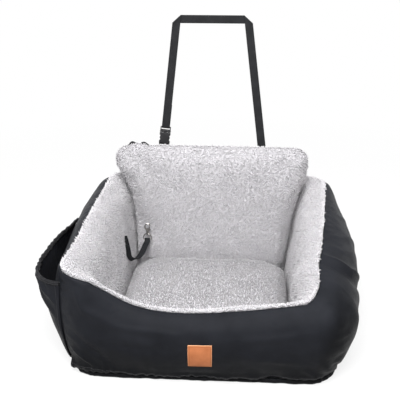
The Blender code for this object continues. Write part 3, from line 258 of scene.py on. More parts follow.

# %% [markdown]
# ## Plush
# The lining and both cushions are short pile plush. Real pile stands in small locks that lean
# every way, and light falls between them. So the locks are modelled and this material colours
# them: darker where a lock leaves the backing and paler at its tip, as painted shade deep in the
# pile, with a little difference from lock to lock. The seat's pile is coloured darker, as painted
# shade where it lies deep in the well. The backing under the pile is a plain, slightly darker
# knit.

# %% Pile and its backing
def plush(name, dark, light):
    """A pile material that darkens towards a lock's root, as painted shade deep in the pile."""
    made, tree, sockets = new_material(name, 0.95, sheen=0.25, sheen_roughness=0.6, specular=0.15)
    tip, tint = (node(tree, "Attribute", attribute_name=title).outputs["Fac"] for title in ("tip", "tint"))
    colour = two_tone(tree, place_of(tree), 22.0, dark, light)[0]
    # Darker at a lock's root and paler at its tip: painted shade deep in the pile.
    shade = maths(tree, "MULTIPLY", ramp(tree, tip, start=0.74), ramp(tree, tint, start=0.93, end=1.04))
    shaded(tree, sockets, colour, shade)
    return made


PILE = plush("grey_plush_pile", (0.80, 0.782, 0.808), (0.90, 0.882, 0.905))
# The seat's pile is darker: painted shade where it lies deep in the well.
SHADED_SEAT_PILE = plush("shaded_seat_plush_pile", (0.47, 0.458, 0.476), (0.56, 0.547, 0.566))

BACKING, tree, sockets, space, colour = mottled(
    "plush_backing", 260.0, (0.62, 0.605, 0.63), (0.74, 0.725, 0.75), 0.95, specular=0.15
)
bump(tree, sockets, colour["Amount"], 0.0015, 0.8)

# %% [markdown]
# ## Other fabrics
# The pocket's binding and the webbing are ribbed tapes, the underside of the seat cushion is a
# grey plain weave, the bottom sheet is a tightly woven base for rubber dots, and the filling is
# white fibre. They share the two groups and differ in scale and colour.


# %% Woven materials
def woven(name, dark, light, across, along, depth, roughness=0.8, cloth=True, sheen=0.1):
    """A plain woven material of two close colours, its threads across and along in metres."""
    material, tree, sockets = new_material(name, roughness, sheen=sheen, specular=0.15)
    where = place_of(tree, cloth)
    colour = two_tone(tree, where, 40.0, dark, light)
    threads = use_group(tree, WEAVE, Place=where, Threads_across=across, Threads_along=along)[0]
    # Painted shade: the colour is darker in the weave's hollows and lighter on its crowns.
    shaded(tree, sockets, colour[0], ramp(tree, threads, start=0.7, end=1.15))
    bump(tree, sockets, threads, depth)
    return material


WEBBING = woven(
    "black_webbing", (0.010, 0.0105, 0.012), (0.018, 0.0185, 0.021), 0.0012, 0.0022, 0.0003, 0.6, sheen=0.03
)
BINDING = woven("black_binding", (0.012, 0.012, 0.014), (0.022, 0.022, 0.025), 0.0015, 0.0008, 0.0002)
UNDERSIDE = woven(
    "grey_underside", (0.16, 0.16, 0.17), (0.24, 0.24, 0.25), 0.0009, 0.0009, 0.0002, cloth=False
)
BASE_CLOTH = woven("bottom_cloth", (0.02, 0.02, 0.022), (0.03, 0.03, 0.033), 0.001, 0.001, 0.0002)
REAR_CLOTH = woven(
    "black_rear_cloth", (0.013, 0.013, 0.0155), (0.021, 0.021, 0.025), 0.0007, 0.0006, 0.0002, 0.6, False
)

FIBRE, tree, sockets, space, colour = mottled(
    "white_fibre", 150.0, (0.6, 0.6, 0.58), (0.85, 0.85, 0.82), 0.95, specular=0.2
)
bump(tree, sockets, colour["Amount"], 0.002)

THREAD = mottled("black_thread", 900.0, (0.02, 0.02, 0.023), (0.06, 0.06, 0.066), 0.5, specular=0.4)[0]

RUBBER, tree, sockets, space, colour = mottled(
    "black_rubber_dots", 300.0, (0.012, 0.012, 0.013), (0.03, 0.03, 0.032), 0.7, specular=0.4
)
bump(tree, sockets, colour["Amount"], 0.0002)

# %% [markdown]
# ## Leather, plastic, board and metal
# The label on the front is tan leather with a cut edge that is paler than its face, and a
# pressed border. The grain is a cell pattern, which is what leather's pores look like. The
# buckle is moulded plastic with a fine spark-eroded skin. The hook is die cast and plated dark
# nickel, so its gloss is broken by small ripples of the casting.

# %% Hard materials
LEATHER, tree, sockets, space, colour = mottled(
    "tan_leather", 60.0, (0.53, 0.170, 0.060), (0.64, 0.222, 0.086), 0.55, specular=0.4
)
toned = colour["Color"]
for title, tone in (("cut_edge", (0.86, 0.45, 0.24, 1)), ("pressed", (0.42, 0.13, 0.045, 1))):
    share = node(tree, "Attribute", attribute_name=title).outputs["Fac"]
    toned = node(tree, "Mix", {0: share, 6: toned, 7: tone}, data_type="RGBA").outputs[2]
tree.links.new(toned, sockets["Base Color"])
pores = node(tree, "TexVoronoi", {"Vector": space, "Scale": 1400.0}, feature="DISTANCE_TO_EDGE").outputs
bump(tree, sockets, ramp(tree, pores["Distance"], high=0.12), 0.00012, 0.7)

PLASTIC, tree, sockets, space, colour = mottled(
    "black_moulded_plastic", 120.0, (0.010, 0.010, 0.0115), (0.017, 0.017, 0.019), 0.38, specular=0.25
)
skin = node(tree, "TexNoise", {"Vector": space, "Scale": 2600.0, "Detail": 2.0}).outputs["Fac"]
bump(tree, sockets, skin, 0.00006)

BOARD, tree, sockets, space, colour = mottled(
    "grey_foamed_board", 90.0, (0.19, 0.19, 0.2), (0.28, 0.28, 0.29), 0.75, specular=0.3
)
cells = node(tree, "TexVoronoi", {"Vector": space, "Scale": 700.0}).outputs["Distance"]
bump(tree, sockets, cells, 0.0003)

NICKEL, tree, sockets, space, colour = mottled(
    "dark_nickel", 500.0, (0.20, 0.19, 0.18), (0.42, 0.405, 0.38), 0.28, metallic=1.0
)
tree.links.new(ramp(tree, colour["Amount"], start=0.34, end=0.2), sockets["Roughness"])
ripple = node(tree, "TexNoise", {"Vector": space, "Scale": 900.0, "Detail": 2.0}).outputs["Fac"]
bump(tree, sockets, ripple, 0.0001)
print("materials:", len(bpy.data.materials))


# %% [markdown]
# ## Turning rows of points into cloth
# Nearly every soft piece here is a run of sections: a wall of the ring, a strap, a hem, a pocket.
# So one helper lofts closed sections into a mesh. It also lays a map named cloth on the mesh, in
# metres along the run and round the section, so that the weave follows the piece.


# %% Mesh helpers
def coordinates(mesh):
    """A mesh's points as an array."""
    points = np.empty(len(mesh.vertices) * 3)
    mesh.vertices.foreach_get("co", points)
    return points.reshape(-1, 3)


def applied(item):
    """An object's mesh with its modifiers applied."""
    return bpy.data.meshes.new_from_object(item.evaluated_get(bpy.context.evaluated_depsgraph_get()))


def mesh_from(made, name):
    """A mesh made from a bmesh, which is then freed."""
    mesh = bpy.data.meshes.new(name)
    made.to_mesh(mesh)
    made.free()
    return mesh


def finish_mesh(name, mesh, material):
    """An object at the origin with one material, its faces smooth and turned out."""
    made = bmesh.new()
    made.from_mesh(mesh)
    bmesh.ops.recalc_face_normals(made, faces=made.faces)
    for face in made.faces:
        face.smooth = True
    made.to_mesh(mesh)
    made.free()
    mesh.materials.clear()
    mesh.materials.append(material)
    return add_object(name, mesh)


def dress(item, body, slot, *solids):
    """Ties a piece to a body, in place of the solids that it stands for, which are hidden; the slot is not
    used.
    """
    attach(item, body)
    if solids:
        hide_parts(*solids)
    print(item.name, len(item.data.polygons), "faces")


# %% Loft
def loft(name, loops, material, ring=False):
    """A closed body through closed sections of equal count, or right round a ring of them."""
    loops = np.asarray(loops, dtype=float)
    count, girth = loops.shape[:2]
    i = np.arange(count if ring else count - 1)[:, None]
    j = np.arange(girth)[None, :]
    i_next, j_next = (i + 1) % count, (j + 1) % girth
    here, ahead = i * girth, i_next * girth
    faces = np.stack([here + j, here + j_next, ahead + j_next, ahead + j], -1)
    along = np.r_[0, np.cumsum(np.linalg.norm(np.diff(loops.mean(1), axis=0), axis=1))]
    along = np.r_[along, along[-1] + np.linalg.norm(loops[0].mean(0) - loops[-1].mean(0))]
    steps = np.linalg.norm(np.roll(loops, -1, axis=1) - loops, axis=2)
    round_it = np.concatenate([np.zeros((count, 1)), np.cumsum(steps, axis=1)], axis=1)
    full_i, full_j = np.broadcast_arrays(i, j)
    u = np.stack([along[full_i], along[full_i], along[full_i + 1], along[full_i + 1]], -1)
    v = np.stack([
        round_it[full_i, full_j], round_it[full_i, full_j + 1],
        round_it[i_next, full_j + 1], round_it[i_next, full_j],
    ], -1)
    quads = faces.reshape(-1, 4).tolist()
    caps = [] if ring else [list(range(girth)), [(count - 1) * girth + k for k in range(girth)]]
    mesh = bpy.data.meshes.new(name)
    mesh.from_pydata(loops.reshape(-1, 3).tolist(), [], quads + caps)
    layer = mesh.uv_layers.new(name="cloth")
    flat = np.stack([u, v], -1).reshape(-1, 2)
    spare = np.zeros((sum(len(cap) for cap in caps), 2))
    layer.data.foreach_set("uv", np.concatenate([flat, spare]).ravel())
    return finish_mesh(name, mesh, material)


# %% [markdown]
# ## The shape of the walls
# Seen from above, the walls run round a rounded rectangle. Cut across, each wall is a fat loop:
# up from the hem, out over a bulge, over the ridge and down into the well. The heights and widths
# change round the ring, low at the front, as a way in, and high at the back. These
# are the solid model's own sizes, evaluated here on a much finer grid, with three touches: beside
# the front left corner the filled edge is a little fuller, at both front corners the black cloth
# wraps further over the ridge, and the right wall is widest a little higher up.

# %% Sizes of the walls
HALF_WIDTH, HALF_DEPTH, CORNER = 0.268, 0.250, 0.060
WELL_X, WELL_FRONT, WELL_REAR, WELL_CORNER = 0.188, -0.188, 0.200, 0.030
CORNER_SHARE = 0.15
FLOOR_TOP, HEM_TOP = 0.0018, 0.0122
FULLER_EDGE = 0.0085
RIM_HEIGHT = [
    (0.0, 0.230), (0.12, 0.208), (0.18, 0.184), (0.25, 0.163), (0.38, 0.150), (0.55, 0.152),
    (0.85, 0.174), (1.0, 0.187), (1.2, 0.207), (1.5, 0.238), (1.8, 0.256), (2.0, 0.254),
    (2.5, 0.252), (3.0, 0.258), (3.2, 0.264), (3.5, 0.254), (3.8, 0.240),
]
BULGE = [
    (0.0, 0.020), (0.15, 0.020), (0.5, 0.024), (0.85, 0.026), (1.0, 0.030), (1.2, 0.045),
    (1.5, 0.056), (1.8, 0.044), (2.0, 0.026), (2.15, 0.0), (2.2, 0.0), (2.8, 0.0), (2.85, 0.0),
    (3.0, 0.018), (3.2, 0.036), (3.5, 0.040), (3.8, 0.030),
]
RIDGE_OUT = [
    (0.0, 0.014), (0.2, -0.008), (0.5, -0.010), (0.85, -0.014), (1.0, -0.026), (1.2, -0.036),
    (1.35, -0.026), (1.55, -0.012), (1.75, 0.0), (1.9, 0.008), (2.0, 0.006), (2.15, 0.0),
    (2.2, 0.0), (2.8, 0.0), (2.85, 0.0), (3.0, -0.012), (3.12, -0.020), (3.3, -0.018),
    (3.5, -0.012), (3.8, -0.004),
]
TOP_WIDTH = [
    (0.0, 0.058), (0.2, 0.030), (0.5, 0.028), (0.85, 0.030), (1.0, 0.046), (1.3, 0.040),
    (1.6, 0.046), (2.0, 0.050), (2.2, 0.028), (2.5, 0.026), (2.8, 0.028), (3.0, 0.042),
    (3.4, 0.040), (3.8, 0.046),
]


# %% A smooth curve through the sizes
def blend_cubic(p1, m1, p2, m2, t):
    """A cubic from p1 to p2 that leaves and arrives with the slopes m1 and m2."""
    near = p1 * (2 * t**3 - 3 * t**2 + 1) + m1 * (t**3 - 2 * t**2 + t)
    return near + p2 * (3 * t**2 - 2 * t**3) + m2 * (t**3 - t**2)


def size_at(knots, place):
    """The size at a place round the ring; places 0 to 4 count the corners from the front left."""
    place %= 4
    count = len(knots)
    here = max(i for i in range(count) if knots[i][0] <= place)
    (x0, y0), (x1, y1), (x2, y2), (x3, y3) = [
        (knots[i % count][0] + 4 * (i // count), knots[i % count][1]) for i in range(here - 1, here + 3)
    ]
    run = x2 - x1
    return blend_cubic(y1, (y2 - y0) / (x2 - x0) * run, y2, (y3 - y1) / (x3 - x1) * run, (place - x1) / run)


def plan_point(place, half_x, front, rear, radius):
    """A point of a rounded rectangle seen from above."""
    wall, share = int(place) % 4, place - int(place)
    signs = ((-1, -1), (1, -1), (1, 1), (-1, 1))

    def on_arc(index, degrees):
        sx, sy = signs[index % 4]
        middle = np.array((sx * (half_x - radius), rear - radius if sy > 0 else front + radius))
        angle = math.radians(degrees + 90 * wall)
        return middle + radius * np.array((math.cos(angle), math.sin(angle)))

    if share < CORNER_SHARE:
        return on_arc(wall, 225 + 45 * share / CORNER_SHARE)
    if share > 1 - CORNER_SHARE:
        return on_arc(wall + 1, 270 + 45 * (share - 1 + CORNER_SHARE) / CORNER_SHARE)
    t = (share - CORNER_SHARE) / (1 - 2 * CORNER_SHARE)
    return on_arc(wall, 270) * (1 - t) + on_arc(wall + 1, 270) * t


# %% The walls as a grid of points
def stand(place):
    """A section's foot, its outward direction and the wall's depth."""
    foot = plan_point(place, HALF_WIDTH, -HALF_DEPTH, HALF_DEPTH, CORNER)
    well = plan_point(place, WELL_X, WELL_FRONT, WELL_REAR, WELL_CORNER)
    depth = float(np.linalg.norm(foot - well))
    return foot, (foot - well) / depth, depth


def hump(place, middle, wide):
    """1 at a place round the ring, fading to 0 on both sides."""
    return math.exp(-((((place - middle + 2) % 4 - 2) / wide) ** 2))


def section(place, turns):
    """Points and outward normals of a section, at turns from 0, the hem, to 10, the well's floor."""
    foot, outward, depth = stand(place)
    height = size_at(RIM_HEIGHT, place) + FULLER_EDGE * hump(place, 0.17, 0.085)
    bulge = size_at(BULGE, place)
    ridge, top = size_at(RIDGE_OUT, place), size_at(TOP_WIDTH, place)
    lifted = hump(place, 1.4, 0.45)
    knots = np.array([
        (-0.004, HEM_TOP),
        ((0.35 - 0.08 * lifted) * bulge - 0.001, HEM_TOP + 0.09 * height),
        ((0.70 - 0.14 * lifted) * bulge, 0.28 * height),
        (bulge, (0.52 + 0.08 * lifted) * height),
        ((0.85 + 0.08 * lifted) * bulge + 0.15 * ridge, 0.80 * height),
        ((0.45 + 0.06 * lifted) * bulge + 0.55 * ridge, 0.95 * height),
        (ridge, height),
        (ridge - 0.45 * top, 0.985 * height),
        (ridge - top, 0.86 * height),
        (0.55 * (ridge - top) - 0.45 * depth - 0.004, 0.50 * height),
        (-depth, FLOOR_TOP),
    ])
    knots = np.concatenate([[2 * knots[0] - knots[1]], knots, [2 * knots[-1] - knots[-2]]])
    here = np.clip(turns.astype(int), 0, 9)
    t = (turns - here)[:, None]
    p0, p1, p2, p3 = (knots[here + k] for k in range(4))
    point = blend_cubic(p1, (p2 - p0) / 2, p2, (p3 - p1) / 2, t)
    ahead = (
        p1 * (6 * t**2 - 6 * t) + (p2 - p0) / 2 * (3 * t**2 - 4 * t + 1)
        + p2 * (6 * t - 6 * t**2) + (p3 - p1) / 2 * (3 * t**2 - 2 * t)
    )
    ahead /= np.linalg.norm(ahead, axis=1)[:, None]
    points = np.column_stack([foot + outward * point[:, :1], point[:, 1]])
    normals = np.column_stack([outward * ahead[:, 1:], -ahead[:, 0]])
    return points, normals


def seam_shift(place, turns):
    """Turns with the seam moved inwards beside the front corners, where the black wraps further."""
    inwards = 0.4 * hump(place, 0.20, 0.14) + 0.5 * hump(place, 1.04, 0.17)
    return turns + inwards * np.where(turns < 6, turns / 6, (10 - turns) / 4)


def wall_grid(places, turns):
    """Points and normals of the walls on a grid of places and turns."""
    turns = np.asarray(turns, dtype=float)
    grids = [section(place, seam_shift(place, turns)) for place in places]
    return np.array([g[0] for g in grids]), np.array([g[1] for g in grids])


PER_WALL = 160
AROUND = np.arange(4 * PER_WALL) / PER_WALL
UP = np.linspace(0, 5.97, 58)
shell_points, shell_normals = wall_grid(AROUND, UP)
print("outer surface:", shell_points.shape[:2], "points, up to", np.round(shell_points.max((0, 1)), 3))

# %% [markdown]
# ## Folds in the outer fabric
# Cloth that is drawn in at a hem and stuffed from behind makes folds of three kinds. Short
# gathers stand up from the hem and under the upper seam. Long soft folds run slantwise where a
# panel is slack. And the whole surface sways a little. Each kind is a sum of small ridges, placed
# by a seeded random generator or one by one, along the run and the girth in metres.


# %% Fold functions
def metres(points):
    """Distance along the rows of a grid and across them, for each of its points."""
    along, girth = np.zeros((2, *points.shape[:2]))
    steps = np.linalg.norm(np.diff(points, axis=0), axis=2).mean(axis=1)
    along[1:] = np.cumsum(steps)[:, None]
    girth[:, 1:] = np.cumsum(np.linalg.norm(np.diff(points, axis=1), axis=2), axis=1)
    return along, girth


def bell(away, wide):
    """1 where away is 0, fading to 0 over about the given width."""
    return np.exp(-((away / wide) ** 2))


def gathers(along, rise, spacing, depth, reach, seed):
    """Short ridges that stand on a seam and die out along rise."""
    chance = random.Random(seed)
    total = along.max()
    height = np.zeros_like(along)
    at = 0.0
    while at < total:
        wide = spacing * chance.uniform(0.22, 0.42)
        tall = reach * chance.uniform(0.5, 1.5)
        slant = chance.uniform(-0.35, 0.35)
        away = (along - at - slant * rise + total / 2) % total - total / 2
        height += depth * chance.uniform(0.4, 1.2) * bell(away, wide) * bell(rise, tall)
        at += spacing * chance.uniform(0.7, 1.3)
    return height


def fold(along, girth, line, width, depth):
    """One long soft ridge along a line of places on the cloth."""
    line = np.array(line, dtype=float)
    lengths = np.linalg.norm(np.diff(line, axis=0), axis=1)
    passed = np.r_[0, np.cumsum(lengths)]
    away, share = np.full(along.shape, np.inf), np.zeros(along.shape)
    for start, end, length, before in zip(line, line[1:], lengths, passed):
        run = end - start
        t = np.clip(((along - start[0]) * run[0] + (girth - start[1]) * run[1]) / length**2, 0, 1)
        gap = np.hypot(along - start[0] - t * run[0], girth - start[1] - t * run[1])
        share = np.where(gap < away, (before + t * length) / passed[-1], share)
        away = np.minimum(away, gap)
    return depth * bell(away, width) * np.sin(math.pi * (0.1 + 0.8 * share))


def add_folds(height, along, girth, groups):
    """Adds ridges given one by one: a start along the run, then a width, a depth and places from there."""
    for start, folds in groups:
        for width, depth, *line in folds:
            height += fold(along, girth, np.array(line) + (start, 0), width, depth)


def sway(points, scale, seed):
    """Soft unevenness from -1 to 1 over the surface."""
    flat = points.reshape(-1, 3)
    move = Vector((seed * 7.1, seed * 3.3, seed * 5.7))
    values = [noise.noise(Vector(p) * scale + move) for p in flat]
    return np.array(values).reshape(points.shape[:2]) * 1.6


# %% Fold the outer fabric
DEEPEST_FOLD = 0.0044
shell_along, shell_girth = metres(shell_points)
shell_down = shell_girth[:, -1:] - shell_girth
shell_round = shell_along.max()
corner_at = [shell_along[PER_WALL * k, 0] for k in range(4)]
wave = gathers(shell_along, shell_girth, 0.016, 0.0034, 0.020, 3)
wave += gathers(shell_along, shell_down, 0.021, 0.0009, 0.020, 5)
wave += 0.0022 * sway(shell_points * (1, 1, 1.6), 10.0, 1) + 0.0008 * sway(shell_points, 36.0, 2)
hem_sway = 0.0030 + 0.0045 * sway(shell_points * (1, 1, 0.2), 26.0, 8)
wave += hem_sway * bell(shell_girth - 0.012, 0.012)
right, left = corner_at[1], corner_at[3]
HAND_PLACED = (  # from a corner: width, depth, and places in metres along the foot and up from it
    (right, (
        (0.0075, 0.0062, (0.121, 0.262), (0.122, 0.225), (0.128, 0.195), (0.175, 0.148)),
        (0.0100, -0.0042, (0.098, 0.255), (0.100, 0.215), (0.110, 0.180), (0.150, 0.130)),
        (0.0080, 0.0018, (0.160, 0.262), (0.170, 0.225), (0.200, 0.195)),
        (0.0090, 0.0024, (0.200, 0.268), (0.215, 0.235), (0.250, 0.205), (0.290, 0.16)),
        (0.0095, 0.0020, (0.300, 0.262), (0.320, 0.225), (0.370, 0.180)),
        (0.0170, 0.0018, (0.070, 0.205), (0.110, 0.125), (0.160, 0.075)),
        (0.0130, 0.0020, (0.030, 0.170), (0.050, 0.100), (0.045, 0.045)),
        (0.0070, 0.0040, (-0.040, 0.060), (-0.020, 0.035), (0.010, 0.020)),
        (0.0060, 0.0036, (-0.070, 0.040), (-0.045, 0.022), (-0.020, 0.014)),
        (0.0060, -0.0032, (-0.012, 0.050), (0.010, 0.030), (0.040, 0.020)),
        (0.0090, 0.0034, (0.170, 0.060), (0.230, 0.040), (0.300, 0.020)),
    )),
    (left, (
        (0.0120, 0.0034, (-0.300, 0.240), (-0.240, 0.170), (-0.180, 0.110)),
        (0.0110, 0.0030, (-0.140, 0.260), (-0.090, 0.200), (-0.050, 0.150)),
    )),
    (0.0, (
        (0.0065, 0.0052, (0.010, 0.060), (0.035, 0.045), (0.060, 0.022)),
        (0.0080, -0.0040, (0.020, 0.100), (0.060, 0.065), (0.100, 0.030)),
        (0.0065, 0.0038, (0.030, 0.190), (0.050, 0.155), (0.110, 0.128)),
        (0.0065, 0.0028, (0.070, 0.128), (0.150, 0.118), (0.240, 0.112)),
        (0.0075, -0.0026, (0.090, 0.085), (0.170, 0.078), (0.210, 0.080)),
        (0.0070, 0.0028, (0.330, 0.105), (0.420, 0.112), (0.490, 0.128)),
        (0.0080, 0.0028, (0.360, 0.070), (0.430, 0.060), (0.480, 0.050)),
    )),
)
add_folds(wave, shell_along, shell_girth, HAND_PLACED)
seam_dip = np.zeros_like(wave)
for at in (left + 0.985 * (shell_round - left), corner_at[2], left):
    seam_dip -= 0.0016 * bell(shell_along - at, 0.0035)
puckers = 0.0020 * sway(shell_points * (1, 1, 2.4), 32.0, 15)
for at in (0.0, right):
    wave += puckers * bell((shell_along - at + shell_round / 2) % shell_round - shell_round / 2, 0.020)
edges = np.clip(shell_girth / 0.004, 0, 1) * np.clip(shell_down / 0.004, 0, 1)
rear_flat = 1 - 0.85 * np.exp(-(((AROUND[:, None] - 2.5) / 0.38) ** 8))
places, turns = np.meshgrid(AROUND, UP, indexing="ij")
under_label = np.exp(-(((places - 0.5) / 0.075) ** 6)) * np.exp(-(((turns - 1.9) / 1.1) ** 6))
in_pocket = ((places > 3.44) & (places < 3.98)) * np.exp(-((turns / 4.9) ** 12))
flat_here = (1 - 0.9 * under_label) * (1 - 0.85 * in_pocket)
wave = np.maximum((wave * rear_flat * flat_here + seam_dip) * edges, -DEEPEST_FOLD)
print("folds stand out from", round(wave.min() * 1000, 1), "to", round(wave.max() * 1000, 1), "mm")

# %% [markdown]
# ## The outer cover
# The cover is one sheet of cloth round the whole ring, sewn to the hem below and to the plush
# above. It could be a plane with a thickness modifier. Lofting its outer and inner faces as one
# closed section gives the same thickness with exact edges, and the inner face can be coarser.


# %% Make the cover
def sheet_loops(points, normals, lift, thickness, coarse=4):
    """Closed sections of a cloth: its face, and its back with fewer points."""
    face = points + normals * lift[..., None]
    keep = np.unique(np.r_[np.arange(0, points.shape[1], coarse), points.shape[1] - 1])
    back = (points + normals * (lift - thickness)[..., None])[:, keep[::-1]]
    return np.concatenate([face, back], axis=1)


COVER_THICK = 0.0012
SIDES = ("front", "right", "rear", "left")
cover = loft("outer_cover", sheet_loops(shell_points, shell_normals, wave, COVER_THICK), BLACK, ring=True)
dress(cover, "shell", "outer_fabric", *[f"{side}_cover" for side in SIDES])

# %% [markdown]
# ## The plush lining and its pile
# The lining starts at the seam on the ridge and goes down into the well. Its backing is lofted
# like the cover. The pile on it is made by Geometry Nodes: points are scattered with a least
# distance between them, and each gets a small pointed lock, leaned and turned at random. The
# locks are realised and turned into a plain mesh, so that nothing is left live.

# %% Small repeated shapes
def stacked(name, rings, sides, twist=0.0, smooth=False):
    """A small closed shape through rings of (height, radius, bend), which knows how high a point is."""
    made = bmesh.new()
    tip = made.verts.layers.float.new("tip")
    loops = []
    for height, radius, bend in rings:
        loop = []
        for k in range(sides if radius else 1):
            angle = 2 * math.pi * k / sides + twist * height
            vertex = made.verts.new((bend + radius * math.cos(angle), radius * math.sin(angle), height))
            vertex[tip] = height
            loop.append(vertex)
        loops.append(loop)
    for one, two in zip(loops, loops[1:]):
        for k in range(sides):
            n = (k + 1) % sides
            made.faces.new((one[k], one[n], two[n], two[k]) if len(two) > 1 else (one[k], one[n], two[0]))
    for loop in (loops[0], loops[-1]):
        if len(loop) > 1:
            made.faces.new(loop)
    bmesh.ops.recalc_face_normals(made, faces=made.faces)
    for face in made.faces:
        face.smooth = smooth
    return bpy.data.objects.new(name, mesh_from(made, name))


LOCK_RINGS = ((0.0, 0.30, 0.0), (0.55, 0.24, 0.07), (1.0, 0.0, 0.26))
LOCK = stacked("pile_lock", LOCK_RINGS, 3, twist=1.0, smooth=True)
print("one lock of pile:", len(LOCK.data.polygons), "faces")


# %% Geometry Nodes helpers
def geometry_tree(name, **inputs):
    """A geometry node tree with a Geometry socket at both ends and named inputs."""
    sockets = {"Geometry": ("Geometry", None), **{title: (kind, None) for title, kind in inputs.items()}}
    return new_tree(name, "GeometryNodeTree", sockets, {"Geometry": "Geometry"})


def copies(tree, points, shape, **sockets):
    """A copy of an object on every point."""
    shape = put(tree, "GeometryNodeObjectInfo", {"Object": shape}).outputs["Geometry"]
    sockets = {"Points": points, "Instance": shape, **sockets}
    return put(tree, "GeometryNodeInstanceOnPoints", sockets).outputs[0]


def finish_tree(tree, geometry, material, out):
    """The end of every tree: copies become real mesh, and get a material."""
    real = put(tree, "GeometryNodeRealizeInstances", {"Geometry": geometry}).outputs[0]
    painted = put(tree, "GeometryNodeSetMaterial", {"Geometry": real, "Material": material})
    tree.links.new(painted.outputs[0], out["Geometry"])
    print(tree.name, "tree:", len(tree.nodes), "nodes")


def run_tree(name, data, tree, **values):
    """Runs a tree on a mesh or a curve and returns its result as a plain object."""
    source = add_object(name, data)
    modifier = source.modifiers.new("nodes", "NODES")
    modifier.node_group = tree
    titles = {item.name: item.identifier for item in tree.interface.items_tree if item.in_out == "INPUT"}
    for title, value in values.items():
        modifier[titles[title]] = value
    mesh = applied(source)
    mesh.name = name
    source.modifiers.remove(modifier)
    bpy.data.objects.remove(source, do_unlink=True)
    return add_object(name, mesh)


# %% The tree that grows pile
GROW, ends, out = geometry_tree(
    "grow_pile", Lock="Object", Spacing="Float", Length="Float", Lean="Float", Stray="Float", Tufts="Float",
    Seed="Int", Material="Material",
)


def chance(low, high, seed, kind="FLOAT"):
    """A random number for every point, or a random vector."""
    first = 2 if kind == "FLOAT" else 0
    sockets = {first: low, first + 1: high, "Seed": seed}
    return put(GROW, "FunctionNodeRandomValue", sockets, data_type=kind).outputs[first // 2]


def vectors(operation, first, second):
    """The result of one sum on two vectors, or of a vector scaled by a number."""
    sockets = {0: first, "Scale" if operation == "SCALE" else 1: second}
    return node(GROW, "VectorMath", sockets, operation=operation).outputs[0]


def turned_by(rotation, angles):
    """A rotation turned about its own axes."""
    angles = put(GROW, "FunctionNodeEulerToRotation", {0: angles}).outputs[0]
    sockets = {"Rotation": rotation, "Rotate By": angles}
    return put(GROW, "FunctionNodeRotateRotation", sockets, rotation_space="LOCAL").outputs[0]


density = maths(GROW, "DIVIDE", 1.1, ends["Spacing"])
density = maths(GROW, "MULTIPLY", density, density)
scatter = {"Mesh": ends["Geometry"], "Seed": ends["Seed"]}
scatter.update({"Distance Min": ends["Spacing"], "Density Max": density})
scatter = put(GROW, "GeometryNodeDistributePointsOnFaces", scatter, distribute_method="POISSON").outputs
where = put(GROW, "GeometryNodeInputPosition").outputs[0]
brushed = {"Vector": where, "Scale": ends["Tufts"], "Detail": 2.0, "Roughness": 0.65}
brushed = vectors("SUBTRACT", node(GROW, "TexNoise", brushed).outputs["Color"], (0.5, 0.5, 0.5))
brushed = vectors("SCALE", brushed, ends["Lean"])
stray = vectors("SCALE", chance((-1, -1, 0), (1, 1, 0), ends["Seed"], "FLOAT_VECTOR"), ends["Stray"])
tilt = vectors("MULTIPLY", vectors("ADD", brushed, stray), (1, 1, 0))
spin = node(GROW, "CombineXYZ", {2: chance(-math.pi, math.pi, 9)}).outputs[0]
turned = turned_by(turned_by(scatter["Rotation"], tilt), spin)
tufted = {"Vector": where, "W": 3.0, "Scale": ends["Tufts"], "Detail": 1.0}
tufted = node(GROW, "TexNoise", tufted, noise_dimensions="4D").outputs["Fac"]
grown = maths(GROW, "MULTIPLY", chance(0.85, 1.15, 11), ramp(GROW, tufted, 0.3, 0.7, 0.8, 1.2))
grown = maths(GROW, "MULTIPLY", grown, ends["Length"])
planted = copies(GROW, scatter["Points"], ends["Lock"], Rotation=turned, Scale=grown)
tinted = {"Geometry": planted, "Name": "tint", "Value": chance(0.0, 1.0, 5)}
tinted = put(GROW, "GeometryNodeStoreNamedAttribute", tinted, data_type="FLOAT", domain="INSTANCE")
finish_tree(GROW, tinted.outputs[0], ends["Material"], out)


def grow_pile(
    name, body, emitter, material=PILE, spacing=0.0021, length=0.0044, lean=2.2, stray=0.3, tufts=170.0,
    seed=1,
):
    """A coat of pile on an emitter mesh."""
    pile = run_tree(
        name, emitter, GROW, Lock=LOCK, Spacing=spacing, Length=length, Lean=lean, Stray=stray, Tufts=tufts,
        Seed=seed, Material=material,
    )
    dress(pile, body, "plush")


# %% Make the lining
BACKING_LIFT, BACKING_THICK = 0.0012, 0.0018
DOWN = np.concatenate([np.linspace(6.03, 8, 26), np.linspace(8, 9.9, 22)[1:]])
lining_points, lining_normals = wall_grid(AROUND, DOWN)
lining_along, lining_girth = metres(lining_points)
slack = 0.0022 * sway(lining_points, 14.0, 4) + 0.0010 * sway(lining_points, 42.0, 6)
add_folds(slack, lining_along, lining_girth, (
    (right, (
        (0.009, 0.0042, (-0.03, 0.05), (0.01, 0.16)),
        (0.010, 0.0042, (0.05, 0.03), (0.03, 0.15)),
    )),
    (0.0, (
        (0.014, -0.0030, (0.02, 0.03), (0.03, 0.16)),
    )),
))
slack *= np.clip(lining_girth / 0.01, 0, 1) * np.clip((lining_girth[:, -1:] - lining_girth) / 0.02, 0, 1)
backing_lift = slack + BACKING_LIFT
lining_loops = sheet_loops(lining_points, lining_normals, backing_lift, BACKING_THICK)
lining = loft("plush_lining", lining_loops, BACKING, ring=True)
dress(lining, "shell", "plush", *[f"{side}_lining" for side in SIDES])


